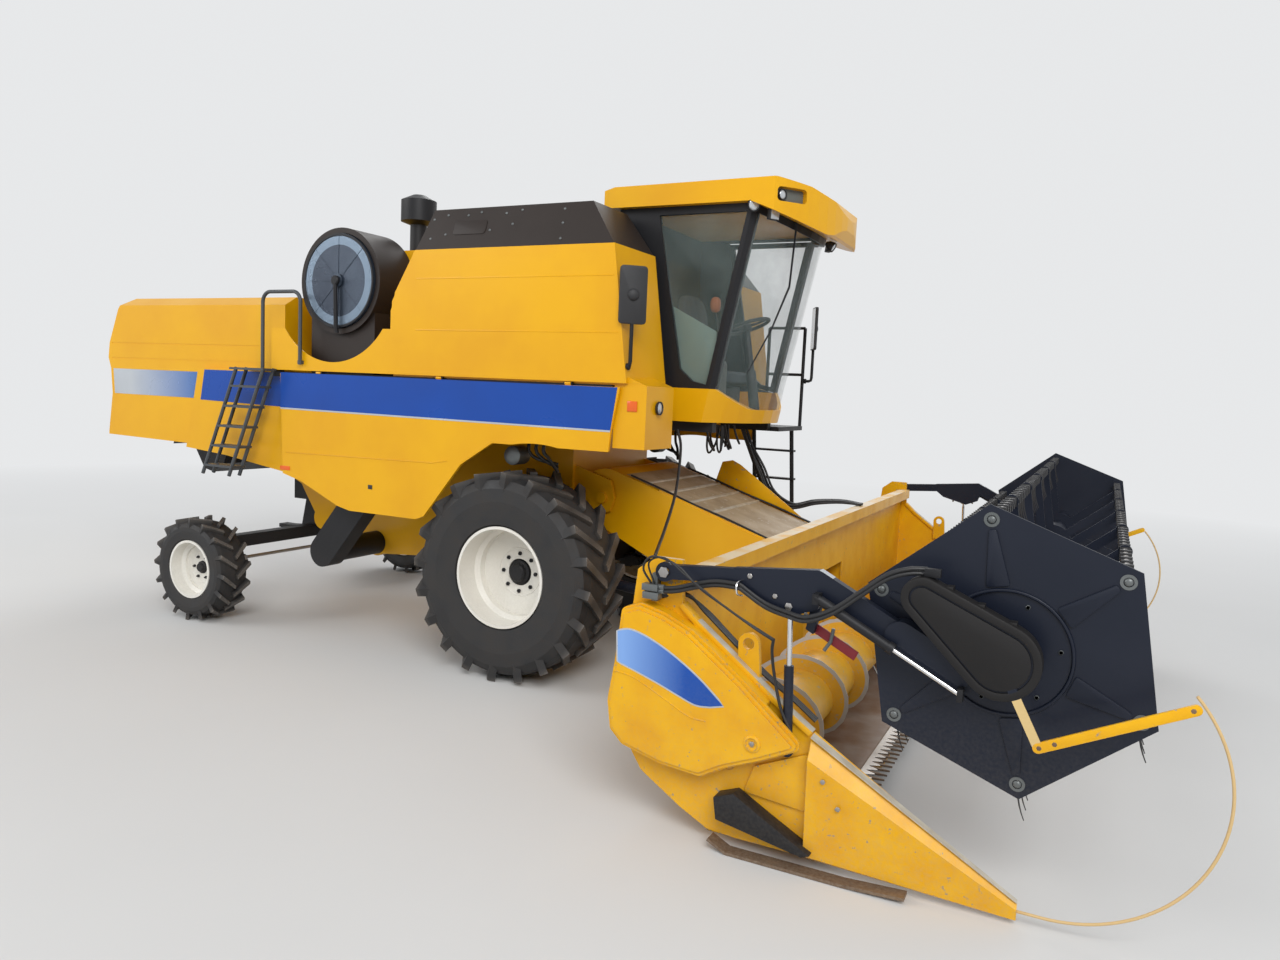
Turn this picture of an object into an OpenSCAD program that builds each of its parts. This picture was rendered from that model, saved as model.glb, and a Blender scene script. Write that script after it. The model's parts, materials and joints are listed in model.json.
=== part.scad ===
/* [Front wheels] */
// Radius of the drive tyre over its lugs
front_r = 840; // [800:5:870]
// Width of the drive tyre
front_w = 587; // [540:1:610]
// Radius of the drive rim's flange
front_rim_r = 406; // [380:1:430]
// Lugs in each half of the drive tread
front_lugs = 20; // [16:1:24]
// Distance between the two drive tyres' middles
front_track = 2454; // [2440:2:2520]
/* [Rear wheels] */
// Radius of the steered tyre over its lugs
rear_r = 490; // [460:5:520]
// Width of the steered tyre
rear_w = 318; // [290:1:330]
// Radius of the steered rim's flange
rear_rim_r = 275; // [255:1:290]
// Lugs in each half of the steered tread
rear_lugs = 16; // [12:1:20]
// Distance between the two steered tyres' middles
rear_track = 2960; // [2900:5:3000]
// Distance from the drive axle back to the steered axle
wheelbase = 3450; // [3400:10:3600]
// Height of the lugs on all the tyres
lug_h = 40; // [25:1:45]
// Radial clearance of every pin in its bore
pin_gap = 0.05; // [0.02:0.01:0.1]
/* [Axles] */
// Width and height of the drive axle's tube
axle_tube = 200; // [160:5:220]
// Width and height of the steered axle's beam
beam = 120; // [100:5:130]
// Distance between the two kingpins
kingpin_track = 2330; // [2300:5:2350]
// Radius of a kingpin
kingpin_r = 25; // [20:1:30]
// Length of a steering arm, kingpin to tie rod
steer_arm = 200; // [180:5:220]
/* [Body] */
// Half width over the side panels
body_half = 1550; // [1540:2:1600]
// Half width of the threshing body between the drives
core_half = 700; // [660:5:720]
// Height of the deck that carries tank and engine
deck_z = 2385; // [2370:5:2400]
// Thickness of the deck
deck_t = 45; // [30:5:50]
// Distance from the drive axle forward to the panels' front edge
panel_front = 1040; // [1000:5:1060]
// Distance from the drive axle back to the panels' rear edge
panel_rear = 2350; // [2300:5:2400]
// Depth of a pressed panel with its rim
panel_t = 24; // [15:1:26]
// Sheet thickness
sheet = 6; // [4:1:10]
// Height of the lowest edge of the side panels
panel_low = 1230; // [1200:5:1300]
/* [Tank and engine] */
// Height of the tank's yellow sides
tank_top = 3390; // [3300:5:3450]
// Height of the tank's raised rim above its sides
rim_h = 330; // [250:5:400]
// Radius of the rotary screen
screen_r = 395; // [350:5:410]
// Depth of the cooling drum behind the screen
drum_depth = 430; // [300:5:480]
// Height of the engine cover
engine_top = 3480; // [3400:5:3560]
/* [Cab] */
// Half width of the cab's walls
cab_half = 800; // [760:5:830]
// Distance from the drive axle to the cab's rear wall
cab_rear = 580; // [560:5:620]
// Height of the cab's underside
cab_floor = 2130; // [2110:5:2150]
// Height where roof and posts meet
cab_top = 3780; // [3700:5:3850]
// Thickness of the cab's posts and walls
post = 40; // [30:1:50]
// Thickness of the glass
glass_t = 6; // [5:1:10]
/* [Rear hood] */
// Distance from the drive axle back to the hood's end
hood_rear = 4960; // [4900:10:5050]
// Height of the hood's roof
hood_top = 3060; // [3000:5:3100]
// Half width of the hood
hood_half = 1400; // [1380:5:1440]
// Height of the hood's lower edge
hood_low = 1680; // [1650:5:1750]
/* [Feeder] */
// Half width of the feeder housing
feeder_half = 620; // [580:5:630]
// Radius of the feeder's rear end
feeder_end_r = 240; // [220:5:250]
// Bore of the feeder lift cylinders
ram_r = 45; // [35:1:50]
/* [Header] */
// Width between the header's end sheets
header_w = 6000; // [5600:50:6100]
// Thickness of an end sheet
end_t = 30; // [20:1:30]
// Radius of the auger's flighting
auger_r = 300; // [280:5:320]
// Radius of the auger's tube
auger_tube_r = 200; // [180:5:220]
// Pitch of the auger's flighting
auger_pitch = 560; // [450:10:650]
// Distance between two knife guards
guard_pitch = 76.2; // [70:0.1:80]
// Bore radius of the lifting eyes
eye_r = 30; // [25:1:35]
/* [Reel] */
// Radius of the circle that carries the tine bars
reel_r = 605; // [560:5:620]
// Number of tine bars, each a node of its own
reel_bars = 6; // [6:1:6]
// Radius of a tine bar's tube
bar_r = 19; // [15:1:22]
// Length of a tine below its bar
tine_l = 200; // [150:5:210]
// Distance between two tines
tine_pitch = 200; // [150:10:250]
// Thickness of the reel's end shields
shield_t = 12; // [8:1:16]
// Radius of the reel's centre tube
reel_tube_r = 75; // [60:5:90]
/* [Unloader] */
// Radius of the unloading tube
spout_r = 165; // [150:5:180]
// Height of the unloading tube's middle line
spout_z = 3220; // [3180:5:3260]
/* [Hidden] */

// Places on the machine, seen from the drive axle on the ground: X forward, Y left, Z up
rear_x = -wheelbase;
hub_gap = 0.3;
drum = [-1740, 3170];           // middle of the rotary screen, X and Z
cutout_r = 690;                 // arc of the panel round the screen
feeder_pivot = [450, 1450];     // X and Z
feeder_front = [[1920, 1225], [1800, 550]];
header_back = 2200;             // inner face of the header's back sheet
header_floor = 90;
belly_z = 1010;                 // underside of the threshing body over the drive axle
knife_x = 3040;
auger_at = [2560, 450];
arm_pivot = [2174, 1415];
arm_line = [arm_pivot, [2985, 1475], [3704, 1109]];
slide_dir = (arm_line[2] - arm_line[1]) / norm(arm_line[2] - arm_line[1]);
reel_at = [3837, 1242];
ram_foot = [250, 720];
ram_eye = [1500, 600];
reel_ram_foot = [2880, 600];
reel_ram_eye = [2852, 1330];
ram_barrel = 430;               // length of a reel cylinder's barrel above its pin
lift_play = 6.5;                // play of the rods' eyes on their pins
reel_play = 9;
arm_r = 52;                     // half depth of a reel arm
bow_at = [4080, 740];           // middle of the crop rod's bow
bow_r = 680;
bow_end = 41;                   // angle of the rod's upper end
crop_bar = [[4016, 898], [4577, 1177]];
sheet_front = 2996;             // front edge of the header's end sheets
lift_eye = [2625, 1085];
spout_at = [550, body_half + 240];  // X and Y of the unloader's turret
spout_end = -3900;
header_half = header_w / 2;
arm_y = header_half + end_t + 35;
reel_half = header_half - 30;
bow_d = 14;
front_reach = bow_at[0] + bow_r + bow_d / 2;
rear_reach = hood_rear + 50;
mid_x = (front_reach - rear_reach) / 2;
yellow = [0.93, 0.62, 0.03];
navy = [0.05, 0.07, 0.13];
soot = [0.06, 0.06, 0.07];
cocoa = [0.11, 0.08, 0.07];
cream = [0.9, 0.88, 0.83];
rubber = [0.09, 0.09, 0.1];
steel = [0.55, 0.55, 0.56];

// The row's origin lies under the middle of the whole machine
module at_axle() { translate([-mid_x, 0, 0]) children(); }
module both() { children(); mirror([0, 1, 0]) children(); }
module side(s) { mirror([0, s < 0 ? 1 : 0, 0]) children(); }
// A flat outline in X and Z, given a thickness from y0 to y1
module slab(y0, y1) { translate([0, y1, 0]) rotate([90, 0, 0]) linear_extrude(y1 - y0) children(); }
// A flat outline in Y and Z, run from x0 to x1
module run(x0, x1) { translate([x0, 0, 0]) rotate([90, 0, 90]) linear_extrude(x1 - x0) children(); }
module block(lo, hi) { translate(lo) cube(hi - lo); }
module axle_y(x, z, r, y0, y1) { translate([x, y1, z]) rotate([90, 0, 0]) cylinder(h = y1 - y0, r = r, $fn = 48); }
module bar(p, q, r, n = 24) {
    v = q - p;
    translate(p) rotate([0, acos(v[2] / norm(v)), atan2(v[1], v[0])]) cylinder(h = norm(v), r = r, $fn = n);
}
// A rounded strip through points in X and Z
module strip(points, r) {
    for (p = points) translate(p) circle(r * 0.985, $fn = 32);
    for (i = [0 : len(points) - 2]) {
        v = points[i + 1] - points[i];
        translate(points[i]) rotate(atan2(v[1], v[0])) translate([0, -r]) square([norm(v), 2 * r]);
    }
}
function unit(a) = [cos(a), sin(a)];

// Wheels
module tyre(r, w, rim_r, n) {
    core = r - lug_h;
    reach = 0.19 * w;
    tilt = asin((reach + 0.05 * w) / r);
    lug_face = r * cos(tilt);
    half = [[rim_r - 13.7, 0.36], [rim_r + 16, 0.47], [(rim_r + core) / 2, 0.5], [core - 0.16 * w, 0.495],
        [core - 0.05 * w, 0.44], [core - 6, 0.33], [core, 0]];
    outline = concat([for (p = half) [p[0], p[1] * w]], [for (i = [len(half) - 2 : -1 : 0]) [half[i][0], -half[i][1] * w]]);
    rotate([90, 0, 0]) {
        rotate_extrude($fn = 72) polygon(outline);
        for (i = [0 : n - 1], m = [0, 1])
            rotate([0, 0, 360 / n * (i + m / 2) - 90 - tilt])
                mirror([0, 0, m])
                    translate([core - 0.2 * w, 0, 0]) rotate([90, 0, 90]) linear_extrude(lug_face - core + 0.2 * w)
                        polygon([[-reach - 0.05 * w, 0.02 * w], [-reach + 0.05 * w, 0.0],
                            [reach + 0.05 * w, 0.47 * w], [reach - 0.06 * w, 0.5 * w]]);
    }
}
// A dished rim: its outer flange faces -Y, and its disc sits disc_in behind that flange
module rim(rim_r, w, disc_in, hub_r, bolts) {
    lip = 0.46 * w;
    rotate([90, 0, 0]) difference() {
        rotate_extrude($fn = 72) polygon([[rim_r, lip], [rim_r, lip - 14], [rim_r - 14, lip - 16],
            [rim_r - 14, 0.1 * w], [rim_r - 45, 0.06 * w], [rim_r - 45, -0.06 * w], [rim_r - 14, -0.1 * w],
            [rim_r - 14, 16 - lip], [rim_r, 14 - lip], [rim_r, -lip], [rim_r - 22, -lip], [rim_r - 26, -0.12 * w],
            [rim_r - 57, -0.06 * w], [rim_r - 57, lip - disc_in - 12], [hub_r, lip - disc_in - 12],
            [hub_r, lip - disc_in], [rim_r - 57, lip - disc_in], [rim_r - 57, 0.06 * w], [rim_r - 26, 0.12 * w],
            [rim_r - 22, lip]]);
        for (i = [0 : bolts - 1])
            rotate([0, 0, 360 / bolts * i]) translate([hub_r + 45, 0, lip - disc_in - 20]) cylinder(h = 40, r = 11, $fn = 24);
    }
}
module front_tyre(s) { color(rubber) at_axle() translate([0, s * front_track / 2, front_r]) side(-s) tyre(front_r, front_w, front_rim_r, front_lugs); }
module front_rim(s) { color(cream) at_axle() translate([0, s * front_track / 2, front_r]) side(-s) rim(front_rim_r, front_w, 300, 110, 8); }
module rear_tyre(s) { color(rubber) at_axle() translate([rear_x, s * rear_track / 2, rear_r]) side(-s) tyre(rear_r, rear_w, rear_rim_r, rear_lugs); }
module rear_rim(s) { color(cream) at_axle() translate([rear_x, s * rear_track / 2, rear_r]) side(-s) rim(rear_rim_r, rear_w, 150, 62, 6); }

// Axles
spindle_y = kingpin_track / 2 + 60;
module front_axle() {
    hub_y = front_track / 2 + front_w * 0.46 - 300;
    color(soot) at_axle() {
        block([-axle_tube / 2, -core_half, front_r - axle_tube / 2], [axle_tube / 2, core_half, front_r + axle_tube / 2]);
        both() {
            axle_y(0, front_r, 165, 560, 800);
            axle_y(0, front_r, 120, 800, hub_y - 12 - hub_gap);
            block([-170, 480, front_r + axle_tube / 2 - 20], [120, 640, belly_z]);
        }
        both() block([axle_tube / 2 - 10, 440, ram_foot[1] - 60], [ram_foot[0] - 75, 560, ram_foot[1] + 60]);
        both() for (y = [436, 534])
            slab(y, y + 30) hull() {
                translate([axle_tube / 2 + 10, ram_foot[1]]) circle(60, $fn = 32);
                translate(ram_foot) circle(40, $fn = 32);
            }
        both() axle_y(ram_foot[0], ram_foot[1], 20 - pin_gap, 425, 575);
    }
}
module rear_axle() {
    color(soot) at_axle() translate([rear_x, 0, 0]) difference() {
        union() {
            block([-beam / 2, -kingpin_track / 2, rear_r + 150], [beam / 2, kingpin_track / 2, rear_r + 150 + beam]);
            both() translate([0, kingpin_track / 2, rear_r + 130]) cylinder(h = beam + 40, r = kingpin_r + 28, $fn = 48);
            slab(-110, 110) polygon([[-160, rear_r + 240], [160, rear_r + 240], [90, rear_r + 560], [-90, rear_r + 560]]);
            slab(-60, 60) polygon([[-560, rear_r + 175], [0, rear_r + 175], [0, rear_r + 245], [-430, rear_r + 215], [-560, rear_r + 215]]);
        }
        both() translate([0, kingpin_track / 2, rear_r]) cylinder(h = 400, r = kingpin_r, $fn = 48);
        translate([-510, 0, rear_r + 100]) cylinder(h = 200, r = 17, $fn = 48);
    }
}
module knuckle(s) {
    hub_y = rear_track / 2 + rear_w * 0.46 - 150 - 12 - hub_gap;
    color(soot) at_axle() translate([rear_x, 0, 0]) side(s) {
        translate([0, kingpin_track / 2, rear_r - 60]) cylinder(h = beam + 250, r = kingpin_r - pin_gap, $fn = 48);
        translate([0, kingpin_track / 2, rear_r - 70]) cylinder(h = 195, r = 48, $fn = 48);
        translate([0, kingpin_track / 2, rear_r + 175 + beam]) cylinder(h = 25, r = 44, $fn = 48);
        axle_y(0, rear_r, 42, kingpin_track / 2, hub_y - 1);
        axle_y(0, rear_r, 80, hub_y - 24, hub_y);
        block([0, kingpin_track / 2 - 35, rear_r + 20], [steer_arm, kingpin_track / 2 + 35, rear_r + 50]);
        translate([steer_arm, kingpin_track / 2, rear_r + 20]) cylinder(h = 30, r = 35, $fn = 48);
        translate([steer_arm, kingpin_track / 2, rear_r + 20]) cylinder(h = 85, r = 12 - pin_gap, $fn = 48);
    }
}
module tie_rod() {
    color(steel) at_axle() translate([rear_x + steer_arm, 0, rear_r + 75]) difference() {
        union() {
            rotate([90, 0, 0]) cylinder(h = kingpin_track - 2 * 30, r = 16, center = true, $fn = 32);
            both() translate([0, kingpin_track / 2, -20]) cylinder(h = 40, r = 30, $fn = 48);
        }
        both() translate([0, kingpin_track / 2, -50]) cylinder(h = 100, r = 12, $fn = 48);
    }
}

// Body
tank_rear = 860;
tank_lean = 139;                // how far the tank's front edge leans back over its height
deck_under = deck_z - deck_t;
hood_front = panel_rear + 110;
fan_at = [-640, 960];
boot_at = [-1990, 800];
return_at = [-2700, 960];
module separator_body() {
    color(yellow) at_axle() difference() {
        union() {
            slab(-core_half, core_half) polygon([[170, 1240], [170, 2080], [960, 2080], [960, deck_under], [-4100, deck_under],
                [-4250, 1900], [-3900, 1560], [-3300, 1420], [-2800, 1200], [-1000, 1000], [-300, belly_z], [130, belly_z]]);
            slab(-core_half, core_half) translate(fan_at) circle(330, $fn = 64);
            slab(-core_half, core_half) translate(boot_at) circle(130, $fn = 48);
            slab(-core_half, core_half) polygon([[fan_at[0], 800], [boot_at[0], 690], [return_at[0], 870], [-3000, 1300], [-600, 1300]]);
            slab(-core_half, core_half) translate(return_at) circle(110, $fn = 48);
            both() slab(feeder_half + 20, feeder_half + 50) polygon([[170, 1240], [520, 1340], [560, 1450], [520, 1600], [170, 1700]]);
        }
        both() axle_y(feeder_pivot[0], feeder_pivot[1], 45, feeder_half, core_half + 10);
    }
}
module deck() {
    color(soot) at_axle() {
        block([-hood_front, -body_half + panel_t + 5, deck_under], [960, body_half - panel_t - 5, deck_z]);
        both() for (x = hinge_xs) {
            for (m = [-37, 27]) block([x + m, body_half - panel_t - 10, deck_z - 12], [x + m + 10, hinge_at[0] + 6, deck_z + 8]);
            translate([x - 37, hinge_at[0], hinge_at[1]]) rotate([0, 90, 0]) cylinder(h = 74, r = 5 - pin_gap, $fn = 32);
        }
        both() for (x = [-panel_rear + 60, -900, 700])
            block([x, core_half, deck_under - 70], [x + 60, body_half - panel_t - 10, deck_under]);
        // Hanger of the steered axle
        difference() {
            block([rear_x - 110, -260, rear_r + 560], [rear_x + 110, 260, 1600]);
            slab(-core_half, core_half) polygon([[-4250, 1900], [-3900, 1560], [-3300, 1420], [-2800, 1200], [-2800, 1900]]);
        }
        block([960, -cab_half + 100, cab_floor - 80], [1420, -cab_half + 180, cab_floor]);
        block([960, cab_half - 180, cab_floor - 80], [1420, cab_half - 100, cab_floor]);
    }
}

hinge_at = [body_half - 12, deck_z];    // Y and Z of the panels' hinge line
hinge_xs = [-1900, -600, 600];
module side_shield_hinges() {
    for (x = hinge_xs) difference() {
        union() {
            translate([x - 25, hinge_at[0], hinge_at[1]]) rotate([0, 90, 0]) cylinder(h = 50, r = 11, $fn = 32);
            block([x - 25, hinge_at[0] - 4, deck_z - 30], [x + 25, hinge_at[0] + 4, deck_z - 6]);
        }
        translate([x - 30, hinge_at[0], hinge_at[1]]) rotate([0, 90, 0]) cylinder(h = 60, r = 5, $fn = 32);
    }
}
module panel_outline(grow = 0) {
    offset(delta = grow) difference() {
        polygon([[-panel_rear, deck_z - 15], [panel_front, deck_z - 15], [panel_front - 60, 2053], [panel_front - 75, 1900],
            [-60, 1900], [-360, panel_low + 480], [-720, panel_low + 30], [-800, panel_low], [-1520, panel_low],
            [-1660, panel_low + 30], [-2100, panel_low + 210], [-panel_rear + 40, panel_low + 260]]);
        translate([330, front_r - 10]) circle(1090 - grow, $fn = 96);
    }
}
// A pressed side panel: a skin with a folded rim, hung along its top edge
module side_shield(s) {
    color(yellow) at_axle() side(s) {
        difference() {
            slab(body_half - panel_t, body_half) panel_outline();
            slab(body_half - panel_t - 10, body_half - sheet) panel_outline(-22);
        }
        side_shield_hinges();
    }
}
function tank_front(z) = panel_front + 50 - tank_lean * (z - deck_z - 15) / (tank_top - deck_z - 15);
module tank_outline() {
    polygon([[panel_front + 50, deck_z + 15], [tank_front(tank_top), tank_top], [-tank_rear, tank_top],
        [-tank_rear - 240, tank_top - 400], [-tank_rear - 240, deck_z + 380], [-hood_front, deck_z + 380],
        [-hood_front, deck_z + 15]]);
}
module grain_tank() {
    color(yellow) at_axle() difference() {
        union() {
            slab(-body_half + 8, body_half - 8) polygon([[940, deck_z], [940 - tank_lean, tank_top],
                [-tank_rear, tank_top], [-tank_rear - 235, tank_top - 400], [-tank_rear - 235, deck_z]]);
            slab(-body_half, -body_half + 8) difference() {
                tank_outline();
                translate(drum) circle(cutout_r, $fn = 96);
            }
            slab(body_half - 8, body_half) tank_outline();
            // Front corners beside the cab, with the lamps' boxes below
            side(-1) {
                block([980, cab_half + 260, 1930], [1240, body_half - panel_t - 12, deck_z + 1]);
                slab(cab_half + 260, body_half - panel_t - 12) polygon([[980, deck_z], [1240, deck_z], [980, deck_z + 100]]);
            }
            both() slab(cab_half + 90, body_half - 8) polygon([[940, deck_z], [panel_front + 50, deck_z],
                [panel_front + 50, deck_z + 15], [panel_front + 50 - tank_lean, tank_top], [800, tank_top]]);
        }
        // Grooves over the side panels' hinges
        both() block([-hood_front - 10, hinge_at[0] - 26, deck_z - 1], [1300, body_half + 1, deck_z + 15]);
        // Recess that takes the cab
        block([cab_rear - 20, -cab_half - 90, deck_z - 1], [1300, cab_half + 90, tank_top + 1]);
    }
}
module tank_rim() {
    color(cocoa) at_axle() difference() {
        union() {
            hull() {
                block([-tank_rear, -body_half + 10, tank_top], [panel_front - 100, body_half - 10, tank_top + 1]);
                block([-tank_rear + 90, -body_half + 130, tank_top + rim_h - 1], [panel_front - 350, body_half - 130, tank_top + rim_h]);
            }
            hull() {
                block([-560, -800, tank_top + rim_h - 1], [60, 800, tank_top + rim_h]);
                block([-520, -700, tank_top + rim_h + 75], [20, 700, tank_top + rim_h + 76]);
            }
        }
        block([cab_rear - 20, -cab_half - 90, tank_top - 10], [1300, cab_half + 90, tank_top + rim_h + 100]);
    }
}

hood_chamfer = 90;
module hood_side(grow = 0) {
    offset(delta = grow) polygon([[-hood_front, hood_low + 20], [-hood_front, hood_top], [-4700, hood_top], [-4800, hood_top - 115],
        [-hood_rear + 20, 2610], [-hood_rear, 2460], [-hood_rear + 40, 2350], [-hood_rear + 60, 2100], [-hood_rear, hood_low + 30],
        [-hood_rear, hood_low], [-3730, hood_low - 20]]);
}
module hood_section(grow = 0) {
    offset(delta = grow) polygon([[-hood_half, 1000], [-hood_half, hood_top - 80], [-hood_half + 130, hood_top],
        [hood_half - 130, hood_top], [hood_half, hood_top - 80], [hood_half, 1000]]);
}
module straw_hood() {
    color(yellow) at_axle() {
        difference() {
            intersection() {
                slab(-hood_half, hood_half) hood_side();
                run(-hood_rear - 10, -hood_front) hood_section();
            }
            intersection() {
                slab(-hood_half, hood_half) union() {
                    hood_side(-sheet);
                    polygon([[-4600, 1500], [-4600, 2000], [-hood_front - 10, 2000], [-hood_front - 10, 1500]]);
                }
                run(-hood_rear - 10, -hood_front + 10) hood_section(-sheet);
            }
            block([-hood_front - 20, -core_half - 20, 1500], [-hood_front + 10, core_half + 20, deck_z]);
            // Pressed grooves along both sides
            both() for (z = [2450, 2600]) block([-4900, hood_half - 3, z], [-hood_front - 120, hood_half + 1, z + 12]);
            block([-4890, -core_half - 10, 1500], [-4590, core_half + 10, 1900]);
        }
        // Side panels between the hood and the hinged shields
        both() slab(hood_half, hood_half + 70) polygon([[-3520, deck_z], [-hood_front, deck_z], [-hood_front, deck_under],
            [-hood_front + 85, deck_under], [-hood_front + 85, 1490], [-3150, 1590], [-3690, 1630]]);
        // Rear bar with the lamps
        block([-hood_rear - 50, -hood_half + 40, hood_low + 20], [-hood_rear, hood_half - 40, hood_low + 110]);
    }
}
module chopper() {
    color(soot) at_axle() difference() {
        slab(-core_half, core_half) polygon([[-4420, 1330], [-4280, 1300], [-4120, 1400], [-4040, 1600], [-4020, 1676], [-4220, 1870], [-4560, 1880],
            [-4900, 1640], [-4920, 1560], [-4600, 1600]]);
        slab(-core_half + 12, core_half - 12) polygon([[-4560, 1640], [-4420, 1600], [-4400, 1840], [-4550, 1840], [-4930, 1600]]);
    }
}
module engine_block() {
    color(soot) at_axle() block([-2200, -450, deck_z], [-1250, 700, deck_z + 860]);
}
module engine_cover() {
    color(yellow) at_axle() difference() {
        block([-2330, -body_half + 80 + drum_depth, deck_z], [-tank_rear - 240, body_half - 60, engine_top]);
        block([-2330 + sheet, -body_half + 80 + drum_depth + sheet, deck_z], [-tank_rear - 240 - sheet, body_half - 60 - sheet, engine_top - sheet]);
        // Cooling air slots in the left wall
        for (i = [0 : 7]) block([-2230, body_half - 80, deck_z + 250 + 90 * i], [-1200, body_half, deck_z + 290 + 90 * i]);
    }
}
module cooling_drum() {
    color(cocoa) at_axle() difference() {
        union() {
            axle_y(drum[0], drum[1], screen_r + 50, -body_half + 80, -body_half + 80 + drum_depth);
            block([drum[0] - 360, -body_half + 120, deck_z], [drum[0] + 360, -body_half + 80 + drum_depth, drum[1] - 260]);
        }
        axle_y(drum[0], drum[1], screen_r + 5, -body_half, -body_half + 80 + drum_depth - 12);
        axle_y(drum[0], drum[1], 30, -body_half, -body_half + 80 + drum_depth + 1);
    }
}
module rotary_screen() {
    color(steel) at_axle() {
        difference() {
            axle_y(drum[0], drum[1], screen_r, -body_half + 60, -body_half + 80 + drum_depth - 18);
            axle_y(drum[0], drum[1], screen_r - 8, -body_half + 64, -body_half + 80 + drum_depth);
        }
        axle_y(drum[0], drum[1], 30 - pin_gap, -body_half + 50, -body_half + 80 + drum_depth);
        axle_y(drum[0], drum[1], 60, -body_half + 40, -body_half + 66);
    }
}
module stacks() {
    color(soot) at_axle() {
        translate([-1640, -600, engine_top]) cylinder(h = 300, r = 75, $fn = 48);
        translate([-1640, -600, engine_top + 300]) cylinder(h = 30, r1 = 75, r2 = 160, $fn = 48);
        translate([-1640, -600, engine_top + 330]) cylinder(h = 190, r = 160, $fn = 48);
        translate([-1640, -600, engine_top + 520]) cylinder(h = 50, r1 = 160, r2 = 60, $fn = 48);
        translate([-2000, 500, engine_top]) cylinder(h = 330, r = 55, $fn = 48);
    }
}
module elevator(foot, head, y0, y1) {
    difference() {
        slab(y0, y1) hull() {
            translate(foot) circle(135, $fn = 48);
            translate(head) circle(135, $fn = 48);
        }
        block([-4000, y0 - 10, deck_under - 75], [2000, y1 + 10, 4000]);
    }
    axle_y(foot[0], foot[1], 110, core_half, y0 + 1);
}
module elevators() {
    color(soot) at_axle() {
        side(-1) elevator(boot_at, [-900, 2150], body_half - 320, body_half - 150);
        side(1) elevator(return_at, [-1500, 2250], body_half - 320, body_half - 150);
    }
}

// Cab
function post_x(z) = 1365 + (z - 2130) * 0.203;       // middle of the front side post
function rear_post_x(z) = 1170 - (z - 2330) * 0.196;  // rear edge of the side window
nose = [1650, 2010];            // foremost point of the glass, low and high
module cab_plan(z, front, grow) {
    x = post_x(z);
    swell = front - x;
    bend = (cab_half * cab_half + swell * swell) / (2 * swell);
    sweep = asin(cab_half / bend);
    offset(delta = grow) polygon(concat([[cab_rear, cab_half], [cab_rear, -cab_half]],
        [for (i = [0 : 10]) [front - bend + bend * cos(sweep * (i / 5 - 1)), bend * sin(sweep * (i / 5 - 1))]]));
}
module cab_loft(grow) {
    hull() {
        translate([0, 0, cab_floor]) linear_extrude(1) cab_plan(cab_floor, nose[0], grow);
        translate([0, 0, cab_top - 1]) linear_extrude(1) cab_plan(cab_top, nose[1], grow);
    }
}
module under_roof(drop = 0) {
    polygon([[300, cab_top - drop], [1700, cab_top - drop], [2160, cab_top - 190 - drop], [2800, cab_top - 190 - drop],
        [2800, cab_top + 500], [300, cab_top + 500]]);
}
module side_window(grow = 0) {
    high = cab_top - 60;
    low = cab_floor + 290;
    offset(delta = grow) polygon([[rear_post_x(high) + 30, high], [post_x(high) - 35, high], [post_x(low) - 35, low],
        [1270, low + 25], [rear_post_x(low + 120) + 30, low + 120]]);
}
module wind_screen(grow = 0) {
    low = cab_floor + 260;
    offset(delta = grow) difference() {
        polygon([[post_x(low) + 30, low], [post_x(cab_top) + 30, cab_top], [2600, cab_top], [2600, cab_floor + 90],
            [1605, cab_floor + 110]]);
        under_roof(60);
    }
}
module below_glass() {
    polygon([[300, 1900], [300, cab_floor + 260], [1460, cab_floor + 260], [1605, cab_floor + 110], [2600, cab_floor + 90], [2600, 1900]]);
}
module cab_shell() {
    difference() {
        cab_loft(0);
        intersection() {
            cab_loft(-post);
            block([0, -2000, cab_floor + post], [3000, 2000, 5000]);
        }
        slab(-2000, 2000) side_window();
        slab(0, 2000) for (lift = [0, 8]) translate([0, lift]) side_window(28);
        slab(-2000, 2000) wind_screen();
        slab(-2000, 2000) under_roof();
        block([0, -2000, 0], [966, 2000, deck_z]);
    }
}
module cab_base() { color(yellow) at_axle() intersection() { cab_shell(); slab(-2000, 2000) below_glass(); } }
module cab_frame() {
    color(soot) at_axle() {
        difference() { cab_shell(); slab(-2000, 2000) below_glass(); }
        for (z = door_hinges) door_axis_at(z) {
            translate([0, 0, -45]) cylinder(h = 90, r = 6 - pin_gap, $fn = 32);
            for (m = [-45, 31]) block([-24, -17, m], [-2, 7, m + 14]);
        }
    }
}
// The door's hinge line leans back along the rear post
door_y = cab_half + 16;
door_hinges = [2750, 3450];
module door_axis_at(z) { translate([rear_post_x(z) + 7, door_y, z]) rotate([0, -atan(0.196), 0]) children(); }
module pane() {
    difference() {
        cab_loft(-post / 2 + glass_t / 2);
        cab_loft(-post / 2 - glass_t / 2);
    }
}
module cab_glass() {
    color([0.5, 0.6, 0.62, 0.4]) at_axle() intersection() {
        pane();
        union() {
            slab(-2000, 2000) wind_screen(-0.3);
            slab(-2000, 0) side_window(-0.3);
        }
    }
}
module cab_door() {
    color(soot) at_axle() {
        intersection() {
            difference() {
                cab_loft(0);
                cab_loft(-post);
            }
            slab(0, 2000) difference() {
                side_window(23);
                side_window(-17);
            }
        }
        for (z = door_hinges) door_axis_at(z) difference() {
            union() {
                translate([0, 0, -30]) cylinder(h = 60, r = 12, $fn = 32);
                block([0, -17, -30], [24, 7, 30]);
            }
            translate([0, 0, -40]) cylinder(h = 80, r = 6, $fn = 32);
        }
    }
}
module cab_door_glass() { color([0.5, 0.6, 0.62, 0.4]) at_axle() intersection() { pane(); slab(0, 2000) side_window(-17.3); } }
roof_front = 2235;
roof_bend = 1250;               // radius of the roof's front in plan
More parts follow.
